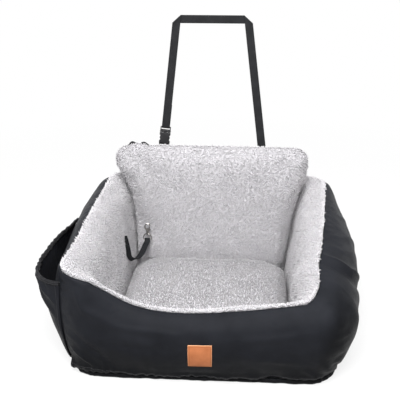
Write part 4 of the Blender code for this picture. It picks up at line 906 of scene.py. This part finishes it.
# %% Grow the lining's pile, one wall at a time
def grid_emitter(points):
    """An open mesh on a grid of points, for pile to grow on."""
    rows, columns = points.shape[:2]
    i, j = np.meshgrid(np.arange(rows - 1), np.arange(columns - 1), indexing="ij")
    near, far = i * columns + j, (i + 1) * columns + j
    faces = np.stack([near, far, far + 1, near + 1], -1)
    mesh = bpy.data.meshes.new("emitter")
    mesh.from_pydata(points.reshape(-1, 3).tolist(), [], faces.reshape(-1, 4).tolist())
    return mesh


nap = lining_points + lining_normals * backing_lift[..., None]
nap = np.concatenate([nap, nap[:1]])
for number, side in enumerate(SIDES):
    strip = nap[PER_WALL * number:PER_WALL * (number + 1) + 1]
    grow_pile(f"{side}_pile", "shell", grid_emitter(strip), seed=number + 1)
grow_pile("border_pile", "shell", grid_emitter(nap[:, :5]), spacing=0.0024, length=0.0058, stray=0.6, seed=12)

# %% [markdown]
# ## The filling of the walls
# Inside the cover and the lining is loose fibre. It doesn't show, but it is a piece of the seat
# and holds the walls out, so it is made as one soft ring just inside the cloth.

# %% Make the filling
FILL_INSET = 0.0065
fill_points, fill_normals = wall_grid(AROUND[::4], np.linspace(0.2, 9.8, 40))
filling = loft("wall_filling", fill_points - fill_normals * FILL_INSET, FIBRE, ring=True)
dress(filling, "shell", "padding", *[f"{side}_padding" for side in SIDES])

# %% [markdown]
# ## The gathered hem
# Round the foot the cover is drawn over an elastic cord and stitched, so it bunches into small
# puckers. Its section is a flattened roll whose radius swells and shrinks along the run.

# %% Make the hem
HEM_INSET, HEM_RADIUS, HEM_MIDDLE = 0.004, 0.0056, 0.0061
HEM_LOW, HEM_HIGH, HEM_SIDES = 0.0003, 0.0125, 18
hem_places = np.arange(4 * 200) / 200
hem_rng = random.Random(8)
pucker = np.zeros(len(hem_places))
at = 0.0
while at < 4:
    away = (hem_places - at + 2) % 4 - 2
    pucker += hem_rng.uniform(-1.0, 1.0) * bell(away, hem_rng.uniform(0.008, 0.018))
    at += hem_rng.uniform(0.012, 0.03)
hem_loops = []
for place, swell in zip(hem_places, pucker):
    inset = HEM_INSET + 0.0025 * hump(place, 0.0, 0.12)
    middle = plan_point(place, HALF_WIDTH - inset, inset - HALF_DEPTH, HALF_DEPTH - inset, CORNER - inset)
    outward = stand(place)[1]
    loop = []
    for k in range(HEM_SIDES):
        angle = 2 * math.pi * k / HEM_SIDES
        radius = HEM_RADIUS + 0.0012 * swell * max(0.0, math.cos(angle) + 0.3)
        up = HEM_MIDDLE + radius * 1.02 * math.sin(angle) + 0.0004 * swell
        loop.append((*(middle + outward * radius * math.cos(angle)), min(max(up, HEM_LOW), HEM_HIGH)))
    hem_loops.append(loop)
hem = loft("gathered_hem", hem_loops, BLACK, ring=True)
dress(hem, "shell", "outer_fabric", "hem_roll")

# %% [markdown]
# ## The side pocket
# A patch pocket stands open on the seat's left side. Its foot and its two ends are sewn down and
# its mouth bows out, so the panel is the wall's own surface moved outward, more and more towards
# the mouth. Elastic in the binding gathers the top, which makes slanting folds below it.

# %% Pocket sizes and shape
POCKET_REAR, POCKET_FRONT, POCKET_FOOT, POCKET_MOUTH, POCKET_OPEN = 0.46, 0.97, 1.0, 4.5, 0.040
POCKET_LIFT = 0.0020
pocket_shares = np.linspace(0, 1, 110)
pocket_places = 3 + POCKET_REAR + (POCKET_FRONT - POCKET_REAR) * pocket_shares
pocket_turns = np.linspace(POCKET_FOOT, POCKET_MOUTH, 60)
pocket_base, pocket_normals = wall_grid(pocket_places, pocket_turns)
opening = POCKET_OPEN * np.sin(math.pi * pocket_shares**1.35).clip(0) ** 0.8
rise = (pocket_turns - POCKET_FOOT) / (POCKET_MOUTH - POCKET_FOOT)
outward = np.array([[*stand(place)[1], 0.0] for place in pocket_places])
pocket_base = pocket_base + outward[:, None] * (opening[:, None] * rise[None, :] ** 1.6)[..., None]
pocket_along, pocket_girth = metres(pocket_base)
mouth_down = pocket_girth[:, -1:] - pocket_girth
pocket_wave = gathers(pocket_along, mouth_down, 0.016, 0.0022, 0.045, 21)
pocket_wave += 0.0022 * sway(pocket_base, 16.0, 9)
add_folds(pocket_wave, pocket_along, pocket_girth, (
    (0.0, (
        (0.006, 0.0062, (0.20, 0.19), (0.23, 0.17), (0.262, 0.13)),
        (0.007, 0.0060, (0.17, 0.17), (0.21, 0.15), (0.255, 0.10)),
        (0.008, 0.0050, (0.08, 0.17), (0.05, 0.14), (0.02, 0.10)),
    )),
))
ends_sewn = np.clip(np.minimum(pocket_shares, 1 - pocket_shares) / 0.05, 0, 1)
pocket_lift = POCKET_LIFT + pocket_wave * (np.clip(pocket_girth / 0.01, 0, 1) * ends_sewn[:, None])
pocket = loft("side_pocket", sheet_loops(pocket_base, pocket_normals, pocket_lift, COVER_THICK), BLACK)
dress(pocket, "shell", "outer_fabric", "pocket_panel")

# %% Binding of the pocket's mouth
BAND_TALL, BAND_THICK, BAND_ROUND = 0.012, 0.0036, 0.0009
below = (mouth_down < BAND_TALL).sum(axis=1).min()
band_points, band_normals = pocket_base[:, -below:], pocket_normals[:, -below:]
band_lift = pocket_lift[:, -below:] + COVER_THICK
band_loops = sheet_loops(band_points, band_normals, band_lift, BAND_THICK, coarse=1)
middle = (band_points + band_normals * (band_lift - BAND_THICK / 2)[..., None]).mean(axis=1)
top = band_loops[:, below - 1:below + 1].mean(axis=1)
lip = top + (top - middle) / np.linalg.norm(top - middle, axis=1)[:, None] * BAND_ROUND
band_loops = np.concatenate([band_loops[:, :below], lip[:, None], band_loops[:, below:]], axis=1)
binding = loft("pocket_binding", band_loops, BINDING)
dress(binding, "shell", "binding", "pocket_hem")

# %% [markdown]
# ## The leather label
# A square of leather is sewn on the front, low in the middle. It follows the cover's curve, so it
# is a piece of the wall's grid with a thickness. The border is pressed in by moving the points
# near one line down, and two attributes tell the material where the leather is cut or pressed.

# %% Make the label
LABEL_WIDE, LABEL_TALL, LABEL_LOW, LABEL_POINTS = 0.0425, 0.049, 0.0505, 90
LABEL_LIFT, LABEL_THICK = 0.0021, 0.0016
run_per_place = 2 * (HALF_WIDTH - CORNER) / (1 - 2 * CORNER_SHARE)
trial = np.linspace(1, 4, 200)
heights = section(0.5, trial)[0][:, 2]
first, last = np.interp([LABEL_LOW, LABEL_LOW + LABEL_TALL], heights, trial)
label_places = 0.5 + np.linspace(-0.5, 0.5, LABEL_POINTS) * LABEL_WIDE / run_per_place
label_base, label_normals = wall_grid(label_places, np.linspace(first, last, LABEL_POINTS))
count = np.arange(LABEL_POINTS)
from_side = np.minimum(count, count[::-1]) / (LABEL_POINTS - 1)
from_edge = np.minimum(from_side[:, None] * LABEL_WIDE, from_side[None, :] * LABEL_TALL)
pressed_in = bell(from_edge - 0.0028, 0.00045)
rounded = 0.0005 * np.clip(1 - from_edge / 0.0009, 0, 1) ** 2
label_lift = LABEL_LIFT - 0.00035 * pressed_in - rounded + 0.0003 * sway(label_base, 60.0, 2)
label_loops = sheet_loops(label_base, label_normals, label_lift, LABEL_THICK, coarse=6)
label = loft("leather_label", label_loops, LEATHER)
for name, on_face, on_back in (("cut_edge", bell(from_edge, 0.0007), 1.0), ("pressed", pressed_in, 0.0)):
    values = np.full(label_loops.shape[:2], on_back)
    values[:, :LABEL_POINTS] = on_face
    label.data.attributes.new(name, "FLOAT", "POINT").data.foreach_set("value", values.ravel())
dress(label, "shell", "leather", "leather_patch")

# %% [markdown]
# ## The cushions
# Both cushions are stuffed bags. A bag's shape comes from its cloth pulling against its filling,
# which is what a cloth simulation works out: the solid model's filling is remeshed evenly, given
# an inner pressure and a little spare cloth, and stepped until it swells. How far a point may
# move is capped, so the cushion stays in its place. Then the two sides of its cover are cut from
# the result, and pile grows on the plush one.


# %% Stuff a cushion
CLOTH_SETTINGS = {
    "quality": 5, "mass": 0.3, "tension_stiffness": 15, "compression_stiffness": 15, "shear_stiffness": 5,
    "bending_stiffness": 0.5, "use_pressure": True, "uniform_pressure_force": 4, "shrink_min": -0.03,
}
SIMULATED_STEPS = 20
VOXEL = 0.006


def simulate(item):
    """Steps a pressure simulation and returns the points."""
    cloth = item.modifiers.new("cloth", "CLOTH")
    for name, value in CLOTH_SETTINGS.items():
        setattr(cloth.settings, name, value)
    cloth.settings.effector_weights.gravity = 0
    cloth.collision_settings.use_collision = False
    cloth.point_cache.frame_start = 1
    cloth.point_cache.frame_end = SIMULATED_STEPS
    scene = bpy.context.scene
    for step in range(1, SIMULATED_STEPS + 1):
        scene.frame_set(step)
    points = coordinates(item.evaluated_get(bpy.context.evaluated_depsgraph_get()).data)
    item.modifiers.remove(cloth)
    scene.frame_set(1)
    return points


def stuffed_body(name, node_name, cap):
    """A filling from the solid model, swollen into its cover by a cloth simulation."""
    made = bmesh.new()
    made.from_mesh(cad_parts[node_name].data)
    bmesh.ops.remove_doubles(made, verts=made.verts, dist=1e-5)
    item = add_object(name, mesh_from(made, name))
    remesh = item.modifiers.new("remesh", "REMESH")
    remesh.mode = "VOXEL"
    remesh.voxel_size = VOXEL
    even = applied(item)
    item.modifiers.clear()
    item.data = even
    start = coordinates(even)
    move = simulate(item) - start
    far = np.linalg.norm(move, axis=1)[:, None]
    capped = start + move * np.minimum(1, cap / np.maximum(far, 1e-9))
    even.vertices.foreach_set("co", capped.ravel())
    print(name, "swelled by up to", round(float(far.max()) * 1000, 1), "mm")
    smooth = item.modifiers.new("smooth", "SUBSURF")
    smooth.levels = smooth.render_levels = 1
    full = applied(item)
    bpy.data.objects.remove(item, do_unlink=True)
    return full


# %% Cut a cover from a stuffed body
SHEET_THICK = 0.0008
NAP_OVERLAP = 0.004


def half_of(body, origin, toward):
    """The part of a body's surface on one side of a plane, as an open mesh."""
    made = bmesh.new()
    made.from_mesh(body)
    geometry = made.verts[:] + made.edges[:] + made.faces[:]
    bmesh.ops.bisect_plane(made, geom=geometry, plane_co=origin, plane_no=toward, clear_inner=True)
    return mesh_from(made, "half")


def half_cover(name, body, origin, toward, material):
    """One sheet of a cushion's cover, with a thickness."""
    item = add_object(name, half_of(body, origin, toward))
    thicken = item.modifiers.new("thickness", "SOLIDIFY")
    thicken.thickness = SHEET_THICK
    thicken.offset = 1
    solid = applied(item)
    bpy.data.objects.remove(item, do_unlink=True)
    return finish_mesh(name, solid, material)


def seam_plane(node_name, toward):
    """A point of the plane in which a cushion's two sheets meet."""
    toward = np.array(toward)
    return Vector(toward * (coordinates(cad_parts[node_name].data) @ toward).min())


# %% The seat cushion
seat_up = (0.0, 0.0, 1.0)
seat_seam = seam_plane("cushion_top", seat_up)
seat_body = stuffed_body("seat_body", "cushion_filling", 0.0045)
seat = finish_mesh("seat_cushion", seat_body, BACKING)
dress(seat, "shell", "plush", "cushion_top", "cushion_filling")
under = half_cover("seat_cushion_underside", seat_body, seat_seam, -Vector(seat_up), UNDERSIDE)
dress(under, "shell", "cushion_underside", "cushion_underside")
seat_nap = half_of(seat_body, seat_seam - Vector(seat_up) * NAP_OVERLAP, seat_up)
grow_pile("seat_cushion_pile", "shell", seat_nap, SHADED_SEAT_PILE, spacing=0.0024, seed=6)

# %% Shape the back cushion's slack corner
HOOK_DENT = np.array((-0.152, 0.138, 0.152))


def shares(points, axis):
    """How far each point is along one axis, from 0 to 1."""
    values = points[:, axis]
    return (values - values.min()) / (values.max() - values.min())


def reshape(mesh):
    """Squares the top corners, lays a slack fold beside the left one, and dents the front at the hook."""
    points = coordinates(mesh)
    across, up = shares(points, 0), shares(points, 2)
    for corner, way in ((0.02, -1), (0.98, 1)):
        near = bell(across - corner, 0.07) * bell(up - 0.96, 0.10)
        points += near[:, None] * (0.007 * way, 0, 0.006)
    peak = bell(across - 0.115, 0.035) * np.clip((up - 0.6) / 0.4, 0, 1) ** 3
    points += peak[:, None] * (0, 0, 0.005)
    middle = 0.165 + 0.03 * (1 - up)
    depth = bell(across - middle, 0.010) * np.clip((up - 0.72) / 0.2, 0, 1)
    points += depth[:, None] * (0, 0.0055, -0.002)
    pressed = bell(np.linalg.norm(points - HOOK_DENT, axis=1), 0.036)
    points += pressed[:, None] * (0, 0.009, 0)
    mesh.vertices.foreach_set("co", points.ravel())


# %% Let the rear sheet show above the crown
def stand_up(mesh):
    """Lifts the rear sheet's top edge in two small tufts beside the slack fold."""
    points = coordinates(mesh)
    across = shares(points, 0)
    near_top = np.clip((points[:, 2] - points[:, 2].max() + 0.03) / 0.03, 0, 1) ** 2
    for middle, tall in ((0.083, 0.0085), (0.150, 0.0080)):
        points[:, 2] += tall * near_top * bell(across - middle, 0.020)
    mesh.vertices.foreach_set("co", points.ravel())


# %% The back cushion
LEAN = math.radians(8)
back_out = (0.0, -math.cos(LEAN), math.sin(LEAN))
back_seam = seam_plane("backrest_front", back_out)
back_body = stuffed_body("back_body", "backrest_filling", 0.0055)
reshape(back_body)
back = finish_mesh("back_cushion", back_body, BACKING)
dress(back, "backrest", "plush", "backrest_front", "backrest_filling")
behind = half_cover("back_cushion_rear", back_body, back_seam, -Vector(back_out), REAR_CLOTH)
stand_up(behind.data)
dress(behind, "backrest", "outer_fabric", "backrest_rear")
back_nap = half_of(back_body, back_seam - Vector(back_out) * NAP_OVERLAP, back_out)
grow_pile("back_cushion_pile", "backrest", back_nap, seed=7)

# %% [markdown]
# ## The bottom sheet
# Under the seat is a tight cloth with rubber dots that keep it from sliding. They repeat on a
# square grid, so Geometry Nodes place them: a grid of points that stays inside the sheet's edge,
# with a small dome on each. The dots reach the floor and the cloth lies just above it.

# %% Bottom cloth
BOTTOM_INSET, BOTTOM_LOW, BOTTOM_HIGH = 0.0122, 0.0007, 0.0015
half_x, half_y = HALF_WIDTH - BOTTOM_INSET, HALF_DEPTH - BOTTOM_INSET
across_sheet = [(share, BOTTOM_HIGH) for share in (0.02, 0.4, 0.8, 1.0)]
across_sheet += [(share, BOTTOM_LOW) for share in (1.0, 0.8, 0.4, 0.02)]
plate = []
for place in np.arange(4 * 24) / 24:
    point = plan_point(place, half_x, -half_y, half_y, CORNER - BOTTOM_INSET)
    plate.append([(*(point * share), height) for share, height in across_sheet])
bottom = loft("bottom_cloth", plate, BASE_CLOTH, ring=True)
dress(bottom, "shell", "bottom_fabric", "bottom_panel")

# %% Rubber dots
DOT = stacked("dot", ((0.0, 0.0016, 0.0), (-0.00049, 0.00128, 0.0), (-0.0007, 0.0, 0.0)), 8)
DOT_FACES = len(DOT.data.polygons)
DOTS, ends, out = geometry_tree(
    "grip_dots", Dot="Object", Width="Float", Depth="Float", Pitch="Float", Material="Material"
)
grid = {"Size X": ends["Width"], "Size Y": ends["Depth"]}
for axis, size in (("X", "Width"), ("Y", "Depth")):
    grid[f"Vertices {axis}"] = maths(DOTS, "DIVIDE", ends[size], ends["Pitch"])
grid = put(DOTS, "GeometryNodeMeshGrid", grid).outputs["Mesh"]
laid = copies(DOTS, grid, ends["Dot"])
raised = put(DOTS, "GeometryNodeTransform", {"Geometry": laid, "Translation": (0, 0, 0.00075)}).outputs[0]
finish_tree(DOTS, raised, ends["Material"], out)
blank = bpy.data.meshes.new("blank")
dots = run_tree("grip_dots", blank, DOTS, Dot=DOT, Width=0.44, Depth=0.41, Pitch=0.009, Material=RUBBER)
dress(dots, "shell", "bottom_fabric")
print("bottom sheet with", len(dots.data.polygons) // DOT_FACES, "dots")

# %% [markdown]
# ## Webbing
# The tall loop, its lower end and the tether are flat woven webbing. A bevelled curve would
# twist at the folds, so each strap is a run of cross lines: where its two edges are at every
# place. The cross lines are filled in along the run and each gets a section with rounded edges.


# %% Make webbing
def fill_in(pairs, step=0.004, smooth=False):
    """Cross lines every step along a run, straight or on a smooth curve between the given ones."""
    pairs = np.asarray(pairs, dtype=float)
    knots = np.concatenate([[2 * pairs[0] - pairs[1]], pairs, [2 * pairs[-1] - pairs[-2]]])
    filled = []
    for i in range(1, len(knots) - 2):
        p0, p1, p2, p3 = knots[i - 1:i + 3]
        count = max(1, round(float(np.linalg.norm((p2 - p1).mean(axis=0))) / step))
        for k in range(count):
            t = k / count
            curved = blend_cubic(p1, (p2 - p0) / 2, p2, (p3 - p1) / 2, t)
            filled.append(curved if smooth else p1 * (1 - t) + p2 * t)
    return np.array([*filled, knots[-2]])


def webbing(name, pairs, thickness):
    """Webbing through cross lines, with rounded edges and a slight ridge along each."""
    middle = pairs.mean(axis=1)
    half = (pairs[:, 1] - pairs[:, 0]) / 2
    ahead = np.gradient(middle, axis=0)
    up = np.cross(half, ahead)
    up /= np.linalg.norm(up, axis=1)[:, None]
    across = np.sin(np.linspace(-1, 1, 13) * math.pi / 2)
    thick = thickness / 2 * (1 - np.abs(across) ** 10) ** 0.5 * (1 - 0.12 * np.cos(across * math.pi * 3))
    flat = middle[:, None] + half[:, None] * across[None, :, None]
    lift = up[:, None] * thick[None, :, None]
    loops = np.concatenate([flat + lift, (flat - lift)[:, -2:0:-1]], axis=1)
    return loft(name, loops, WEBBING)


# %% Sizes of the tall loop
GAP = 0.0003
WEB_WIDE, WEB_THICK, WEB_BAR = 0.020, 0.0016, 0.0022
STRAP_LEAN = math.radians(16)
LEAVES_AT, SEWN_FROM, TOP_REACH, FOLD_GAP = 0.232, 0.150, 0.4057, 0.0022
LEFT_LEG, RIGHT_LEG = (-0.133, -0.096), (0.1335, 0.081)
BUCKLE_AT, SOCKET_BAR, PLUG_BAR = 0.112, 0.0224, 0.0277
UPPER_TAIL, LOWER_TAIL = 0.055, 0.030
STRAP_Y = HALF_DEPTH + 2 * GAP + WEB_THICK / 2


# %% Cross lines of a leg and of a slanting fold
def strap_plane(place, back=0.0):
    """A point of the loop from its place across and up the loop's leaning plane."""
    y = STRAP_Y + place[1] * math.sin(STRAP_LEAN) + back * math.cos(STRAP_LEAN)
    return np.array((place[0], y, LEAVES_AT + place[1] * math.cos(STRAP_LEAN) - back * math.sin(STRAP_LEAN)))


def leg_line(leg):
    """A leg's foot, its direction and its sideways direction, in the loop's plane."""
    run = np.array((leg[1] - leg[0], TOP_REACH))
    run /= np.linalg.norm(run)
    return np.array((leg[0], 0.0)), run, np.array((run[1], -run[0]))


def leg_pair(leg, reach, back=0.0):
    """The webbing's two edges at a distance up a leg."""
    foot, run, side = leg_line(leg)
    middle = foot + run * (reach / run[1])
    return strap_plane(middle - side * WEB_WIDE / 2, back), strap_plane(middle + side * WEB_WIDE / 2, back)


def fold_pair(corner, run, turned, back):
    """The slanting fold where the webbing turns from one run to the next."""
    slant = (run + turned) / np.linalg.norm(run + turned)
    reach = WEB_WIDE / 2 / abs(slant[0] * run[1] - slant[1] * run[0])
    return strap_plane(corner - slant * reach, back), strap_plane(corner + slant * reach, back)


# %% Cross lines at the two ends
def sewn_pairs(leg):
    """The webbing's lower end, flat against the rear cover."""
    foot, run, side = leg_line(leg)
    pairs = []
    for z in (SEWN_FROM, LEAVES_AT - 0.004):
        middle = foot + run * ((z - LEAVES_AT) / run[1])
        ends_of_line = (middle - side * WEB_WIDE / 2, middle + side * WEB_WIDE / 2)
        pairs.append([(end[0], STRAP_Y, LEAVES_AT + end[1]) for end in ends_of_line])
    return pairs


def round_bar(leg, reach, sign, tail):
    """Webbing that goes round a buckle's bar and lies back on itself."""
    radius = (WEB_BAR / math.sqrt(2) + GAP + WEB_THICK / 2) / math.cos(math.pi / 12)
    pairs = []
    for angle in np.linspace(0, math.pi, 7):
        pairs.append(leg_pair(leg, reach + sign * radius * math.sin(angle), radius * (1 - math.cos(angle))))
    return [*pairs, leg_pair(leg, reach - sign * tail, 2 * radius)]


# %% Make the tall loop and its lower end
left_run, right_run, sideways = leg_line(LEFT_LEG)[1], leg_line(RIGHT_LEG)[1], np.array((1.0, 0.0))
left_top, right_top = (LEFT_LEG[1], TOP_REACH), (RIGHT_LEG[1], TOP_REACH)
plug_at, socket_at = BUCKLE_AT + PLUG_BAR * left_run[1], BUCKLE_AT - SOCKET_BAR * left_run[1]
loop_pairs = round_bar(LEFT_LEG, plug_at, -1, UPPER_TAIL)[::-1]
loop_pairs += [leg_pair(LEFT_LEG, plug_at + t * (TOP_REACH - 0.03 - plug_at)) for t in (0.35, 0.7, 1)]
loop_pairs += [fold_pair(left_top, left_run, sideways, back) for back in (0.0, FOLD_GAP)]
loop_pairs += [fold_pair(right_top, sideways, -right_run, back)[::-1] for back in (FOLD_GAP, 0.0)]
right_reaches = (TOP_REACH - 0.03, 0.55 * TOP_REACH, 0.25 * TOP_REACH, 0.0)
loop_pairs += [leg_pair(RIGHT_LEG, reach)[::-1] for reach in right_reaches]
loop_pairs += [pair[::-1] for pair in sewn_pairs(RIGHT_LEG)[::-1]]
lower_pairs = sewn_pairs(LEFT_LEG) + [leg_pair(LEFT_LEG, reach) for reach in (0.0, 0.02, 0.04)]
lower_pairs += round_bar(LEFT_LEG, socket_at, 1, LOWER_TAIL)
headrest_run, anchor_run = fill_in(loop_pairs), fill_in(lower_pairs)
dress(webbing("headrest_webbing", headrest_run, WEB_THICK), "shell", "webbing", "headrest_strap")
dress(webbing("anchor_webbing", anchor_run, WEB_THICK), "shell", "webbing", "anchor_strap")

# %% [markdown]
# ## The tether
# The tether is a short strap, sewn to the plush of the left wall. It hangs in a bend over the
# seat cushion and ends in a loop round the snap hook's eye. It is shown from end to end, so its
# length is what is seen. Its width turns as it bends, and its cross lines carry that.

# %% Route of the tether
TETHER_WIDE, TETHER_THICK, EYE_WIRE = 0.014, 0.0015, 0.0013
EYE_BAR, HOOK_LEAN = np.array((-0.152, 0.1281, 0.130)), math.radians(14)
TETHER_LINE = np.array([
    (-0.1935, 0.062, 0.168), (-0.1912, 0.059, 0.158), (-0.1886, 0.055, 0.146), (-0.1859, 0.051, 0.133),
    (-0.1839, 0.048, 0.1215), (-0.1770, 0.049, 0.1135), (-0.1670, 0.058, 0.113), (-0.1595, 0.076, 0.1165),
    (-0.1550, 0.1141, 0.1215), (-0.1520, 0.1236, 0.1255),
])
TETHER_FACES = np.array([
    (0.55, -0.65, 0.30), (0.66, -0.58, 0.24), (0.78, -0.48, 0.18), (0.85, -0.38, 0.12),
    (0.88, -0.26, 0.10), (0.84, 0.10, 0.34), (0.84, 0.24, 0.14), (0.94, 0.20, 0.05),
    (1.0, 0.06, 0.0), (1.0, 0.0, 0.0),
])
ahead = np.gradient(TETHER_LINE, axis=0)
ahead /= np.linalg.norm(ahead, axis=1)[:, None]
across = TETHER_FACES - ahead * (TETHER_FACES * ahead).sum(axis=1)[:, None]
across *= TETHER_WIDE / 2 / np.linalg.norm(across, axis=1)[:, None]
tether_pairs = [(point - half, point + half) for point, half in zip(TETHER_LINE, across)]
wrap = EYE_WIRE + GAP + TETHER_THICK / 2
half = np.array((TETHER_WIDE / 2, 0.0, 0.0))
for angle in np.radians(np.linspace(-35, 215, 7)) + HOOK_LEAN:
    point = EYE_BAR + (0.0, -wrap * math.cos(angle), wrap * math.sin(angle))
    tether_pairs.append((point - half, point + half))

# %% Make the tether
tether_run = fill_in(tether_pairs, 0.003, smooth=True)
tether = webbing("tether_webbing", tether_run, TETHER_THICK)
dress(tether, "shell", "webbing", "tether_strap")

# %% [markdown]
# ## Stitches
# A row of stitches is the same short thread many times along a line. Geometry Nodes turn the line
# into evenly spaced points and put a stitch on each, turned along the line. The rows lie above
# the hem, along the pocket, and in a crossed box where each strap is sewn down.

# %% One stitch and the tree that sews
STITCH = stacked("stitch", ((-0.5, 0.04, 0.0), (-0.3, 0.12, 0.0), (0.3, 0.12, 0.0), (0.5, 0.04, 0.0)), 6)
THREAD_LIFT = 0.0003
SEW, ends, out = geometry_tree(
    "sew_stitches", Stitch="Object", Spacing="Float", Length="Float", Material="Material"
)
spots = {"Curve": ends["Geometry"], "Length": ends["Spacing"]}
spots = put(SEW, "GeometryNodeCurveToPoints", spots, mode="LENGTH").outputs
threads = copies(SEW, spots["Points"], ends["Stitch"], Rotation=spots["Rotation"], Scale=ends["Length"])
finish_tree(SEW, threads, ends["Material"], out)


def sew(name, rows, slot, length=0.0034, spacing=0.0046):
    """Stitches along rows of points, as one piece."""
    curve = bpy.data.curves.new(name, "CURVE")
    curve.dimensions = "3D"
    for row in rows:
        spline = curve.splines.new("POLY")
        spline.points.add(len(row) - 1)
        spline.points.foreach_set("co", np.column_stack([row, np.ones(len(row))]).ravel())
    made = run_tree(name, curve, SEW, Stitch=STITCH, Spacing=spacing, Length=length, Material=THREAD)
    dress(made, "shell", slot)


# %% Sew the cover and the pocket
above_hem = (shell_points + shell_normals * (wave + THREAD_LIFT)[..., None])[:, 7]
sew("hem_stitches", [np.concatenate([above_hem, above_hem[:1]])], "outer_fabric")
pocket_face, band_face = (
    pocket_base + pocket_normals * (pocket_lift + lift)[..., None]
    for lift in (THREAD_LIFT, THREAD_LIFT + COVER_THICK)
)
rows = [pocket_face[2], pocket_face[-3], pocket_face[:, 2], band_face[:, -below + 1], band_face[:, -2]]
sew("pocket_stitches", rows, "outer_fabric")


# %% Sew the straps
def crossed_box(pairs, first, last, lift):
    """The four sides and two diagonals of a box sewn through a strap, between two cross lines."""
    a, b, c, d = pairs[first, 0], pairs[first, 1], pairs[last, 1], pairs[last, 0]
    middle = (a + b + c + d) / 4
    corners = [middle + (p - middle) * 0.78 + lift for p in (a, b, c, d)]
    lines = [(0, 1), (1, 2), (2, 3), (3, 0), (0, 2), (1, 3)]
    return [np.linspace(corners[i], corners[j], 12) for i, j in lines]


behind_wall = np.array((0, WEB_THICK / 2 + THREAD_LIFT, 0))
boxes = crossed_box(anchor_run, 0, 6, behind_wall)
boxes += crossed_box(headrest_run, len(headrest_run) - 7, -1, behind_wall)
wide, run = tether_run[2, 1] - tether_run[2, 0], (tether_run[3] - tether_run[1]).mean(axis=0)
off_wall = np.cross(run, wide)
off_wall *= np.sign(off_wall[0]) * (TETHER_THICK / 2 + THREAD_LIFT) / np.linalg.norm(off_wall)
boxes += crossed_box(tether_run, 0, 4, off_wall)
sew("strap_stitches", boxes, "webbing", 0.0024, 0.0031)

# %% [markdown]
# ## Buckle, hook and board
# These are hard pieces whose shape is already right in the solid model, so they stay and get
# their finish: moulded plastic for the buckle, plated metal for the hook, foamed board for the
# floor of the well.

# %% Finish the hard pieces
FINISHES = {
    PLASTIC: ("buckle_socket", "buckle_plug", "latch_arm_left", "latch_arm_right"),
    NICKEL: ("hook_eye", "hook_claw", "hook_gate", "gate_pin"),
    BOARD: ("base_board",),
}
for material, names in FINISHES.items():
    for name in names:
        node_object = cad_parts[name]
        if not node_object.material_slots:
            node_object.data.materials.append(material)
        for place in node_object.material_slots:
            place.material = material
    print(material.name, "on", ", ".join(names))

# %% [markdown]
# ## Floor and light
# The seat stands on a plain pale floor in soft studio light: one large lamp high in front on the
# left, a weaker one on the right, and a pale world that fills the shadows. The floor and the
# world look white to the camera and in reflections, and the floor still takes the shadow.


# %% Floor and world
WHITE = (1, 1, 1, 1)


def white_to_camera(tree):
    """1 for rays from the camera, mirrors or glass, and 0 for light on the object."""
    path = node(tree, "LightPath").outputs
    seen = maths(tree, "MAXIMUM", path["Is Camera Ray"], path["Is Glossy Ray"])
    return maths(tree, "MAXIMUM", seen, path["Is Transmission Ray"])


def mix_shaders(tree, share, one, two, output):
    """Ends a cleared tree with a mix of two shaders."""
    mix = node(tree, "MixShader", {0: share, 1: one.outputs[0], 2: two.outputs[0]})
    node(tree, output, {"Surface": mix.outputs[0]})


floor_mesh = bpy.data.meshes.new("floor")
floor_mesh.from_pydata([(-20, -20, 0), (20, -20, 0), (20, 20, 0), (-20, 20, 0)], [], [(0, 1, 2, 3)])
floor = add_object("floor", floor_mesh)
PALE = bpy.data.materials.new("pale_floor")
PALE.use_nodes = True
tree = PALE.node_tree
tree.nodes.clear()
seen_by = white_to_camera(tree)
pale = {0: seen_by, 6: (0.18, 0.18, 0.18, 1), 7: (0.95, 0.95, 0.95, 1)}
matte = node(tree, "BsdfDiffuse", {"Color": node(tree, "Mix", pale, data_type="RGBA").outputs[2]})
glow = node(tree, "Emission", {"Color": WHITE, "Strength": 1.0})
far = node(tree, "VectorMath", {0: place_of(tree)}, operation="LENGTH").outputs["Value"]
share = maths(tree, "MULTIPLY", seen_by, ramp(tree, far, 0.6, 1.8, 0.78))
mix_shaders(tree, share, matte, glow, "OutputMaterial")
floor_mesh.materials.append(PALE)
floor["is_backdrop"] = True

world = bpy.data.worlds.new("studio")
bpy.context.scene.world = world
world.use_nodes = True
tree = world.node_tree
tree.nodes.clear()
upward = node(tree, "SeparateXYZ", {"Vector": node(tree, "TexCoord").outputs["Generated"]}).outputs["Z"]
fill = node(tree, "Background", {"Color": WHITE, "Strength": ramp(tree, upward, 0.0, 0.9, 0.22, 0.78)})
seen = node(tree, "Background", {"Color": WHITE, "Strength": 1.0})
mix_shaders(tree, white_to_camera(tree), fill, seen, "OutputWorld")


# %% Lamps
def lamp(name, place, toward, power):
    """A square area lamp that points at a place."""
    data = bpy.data.lights.new(name, "AREA")
    data.size = 1.2
    data.energy = power
    add_object(name, data, place, (Vector(toward) - Vector(place)).to_track_quat("-Z", "Y").to_euler())


lamp("key", (-0.08, -1.60, 2.25), (0, 0, 0.15), 82)
lamp("side", (1.8, -1.0, 1.5), (0, 0, 0.2), 1.0)
print("lamps:", len(bpy.data.lights))

# %% [markdown]
# ## Measure and finish
# Both boxes are measured, the solid model's and the dressed seat's, whose cloth may stand a
# little proud of it, and the dressed one is printed.

# %% Finish
dressed_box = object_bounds()
boxes = {
    "cad": [[float(c) for c in corner] for corner in cad_box],
    "visual": [[float(c) for c in corner] for corner in dressed_box],
}
print("dressed box", [[round(c, 3) for c in p] for p in dressed_box])
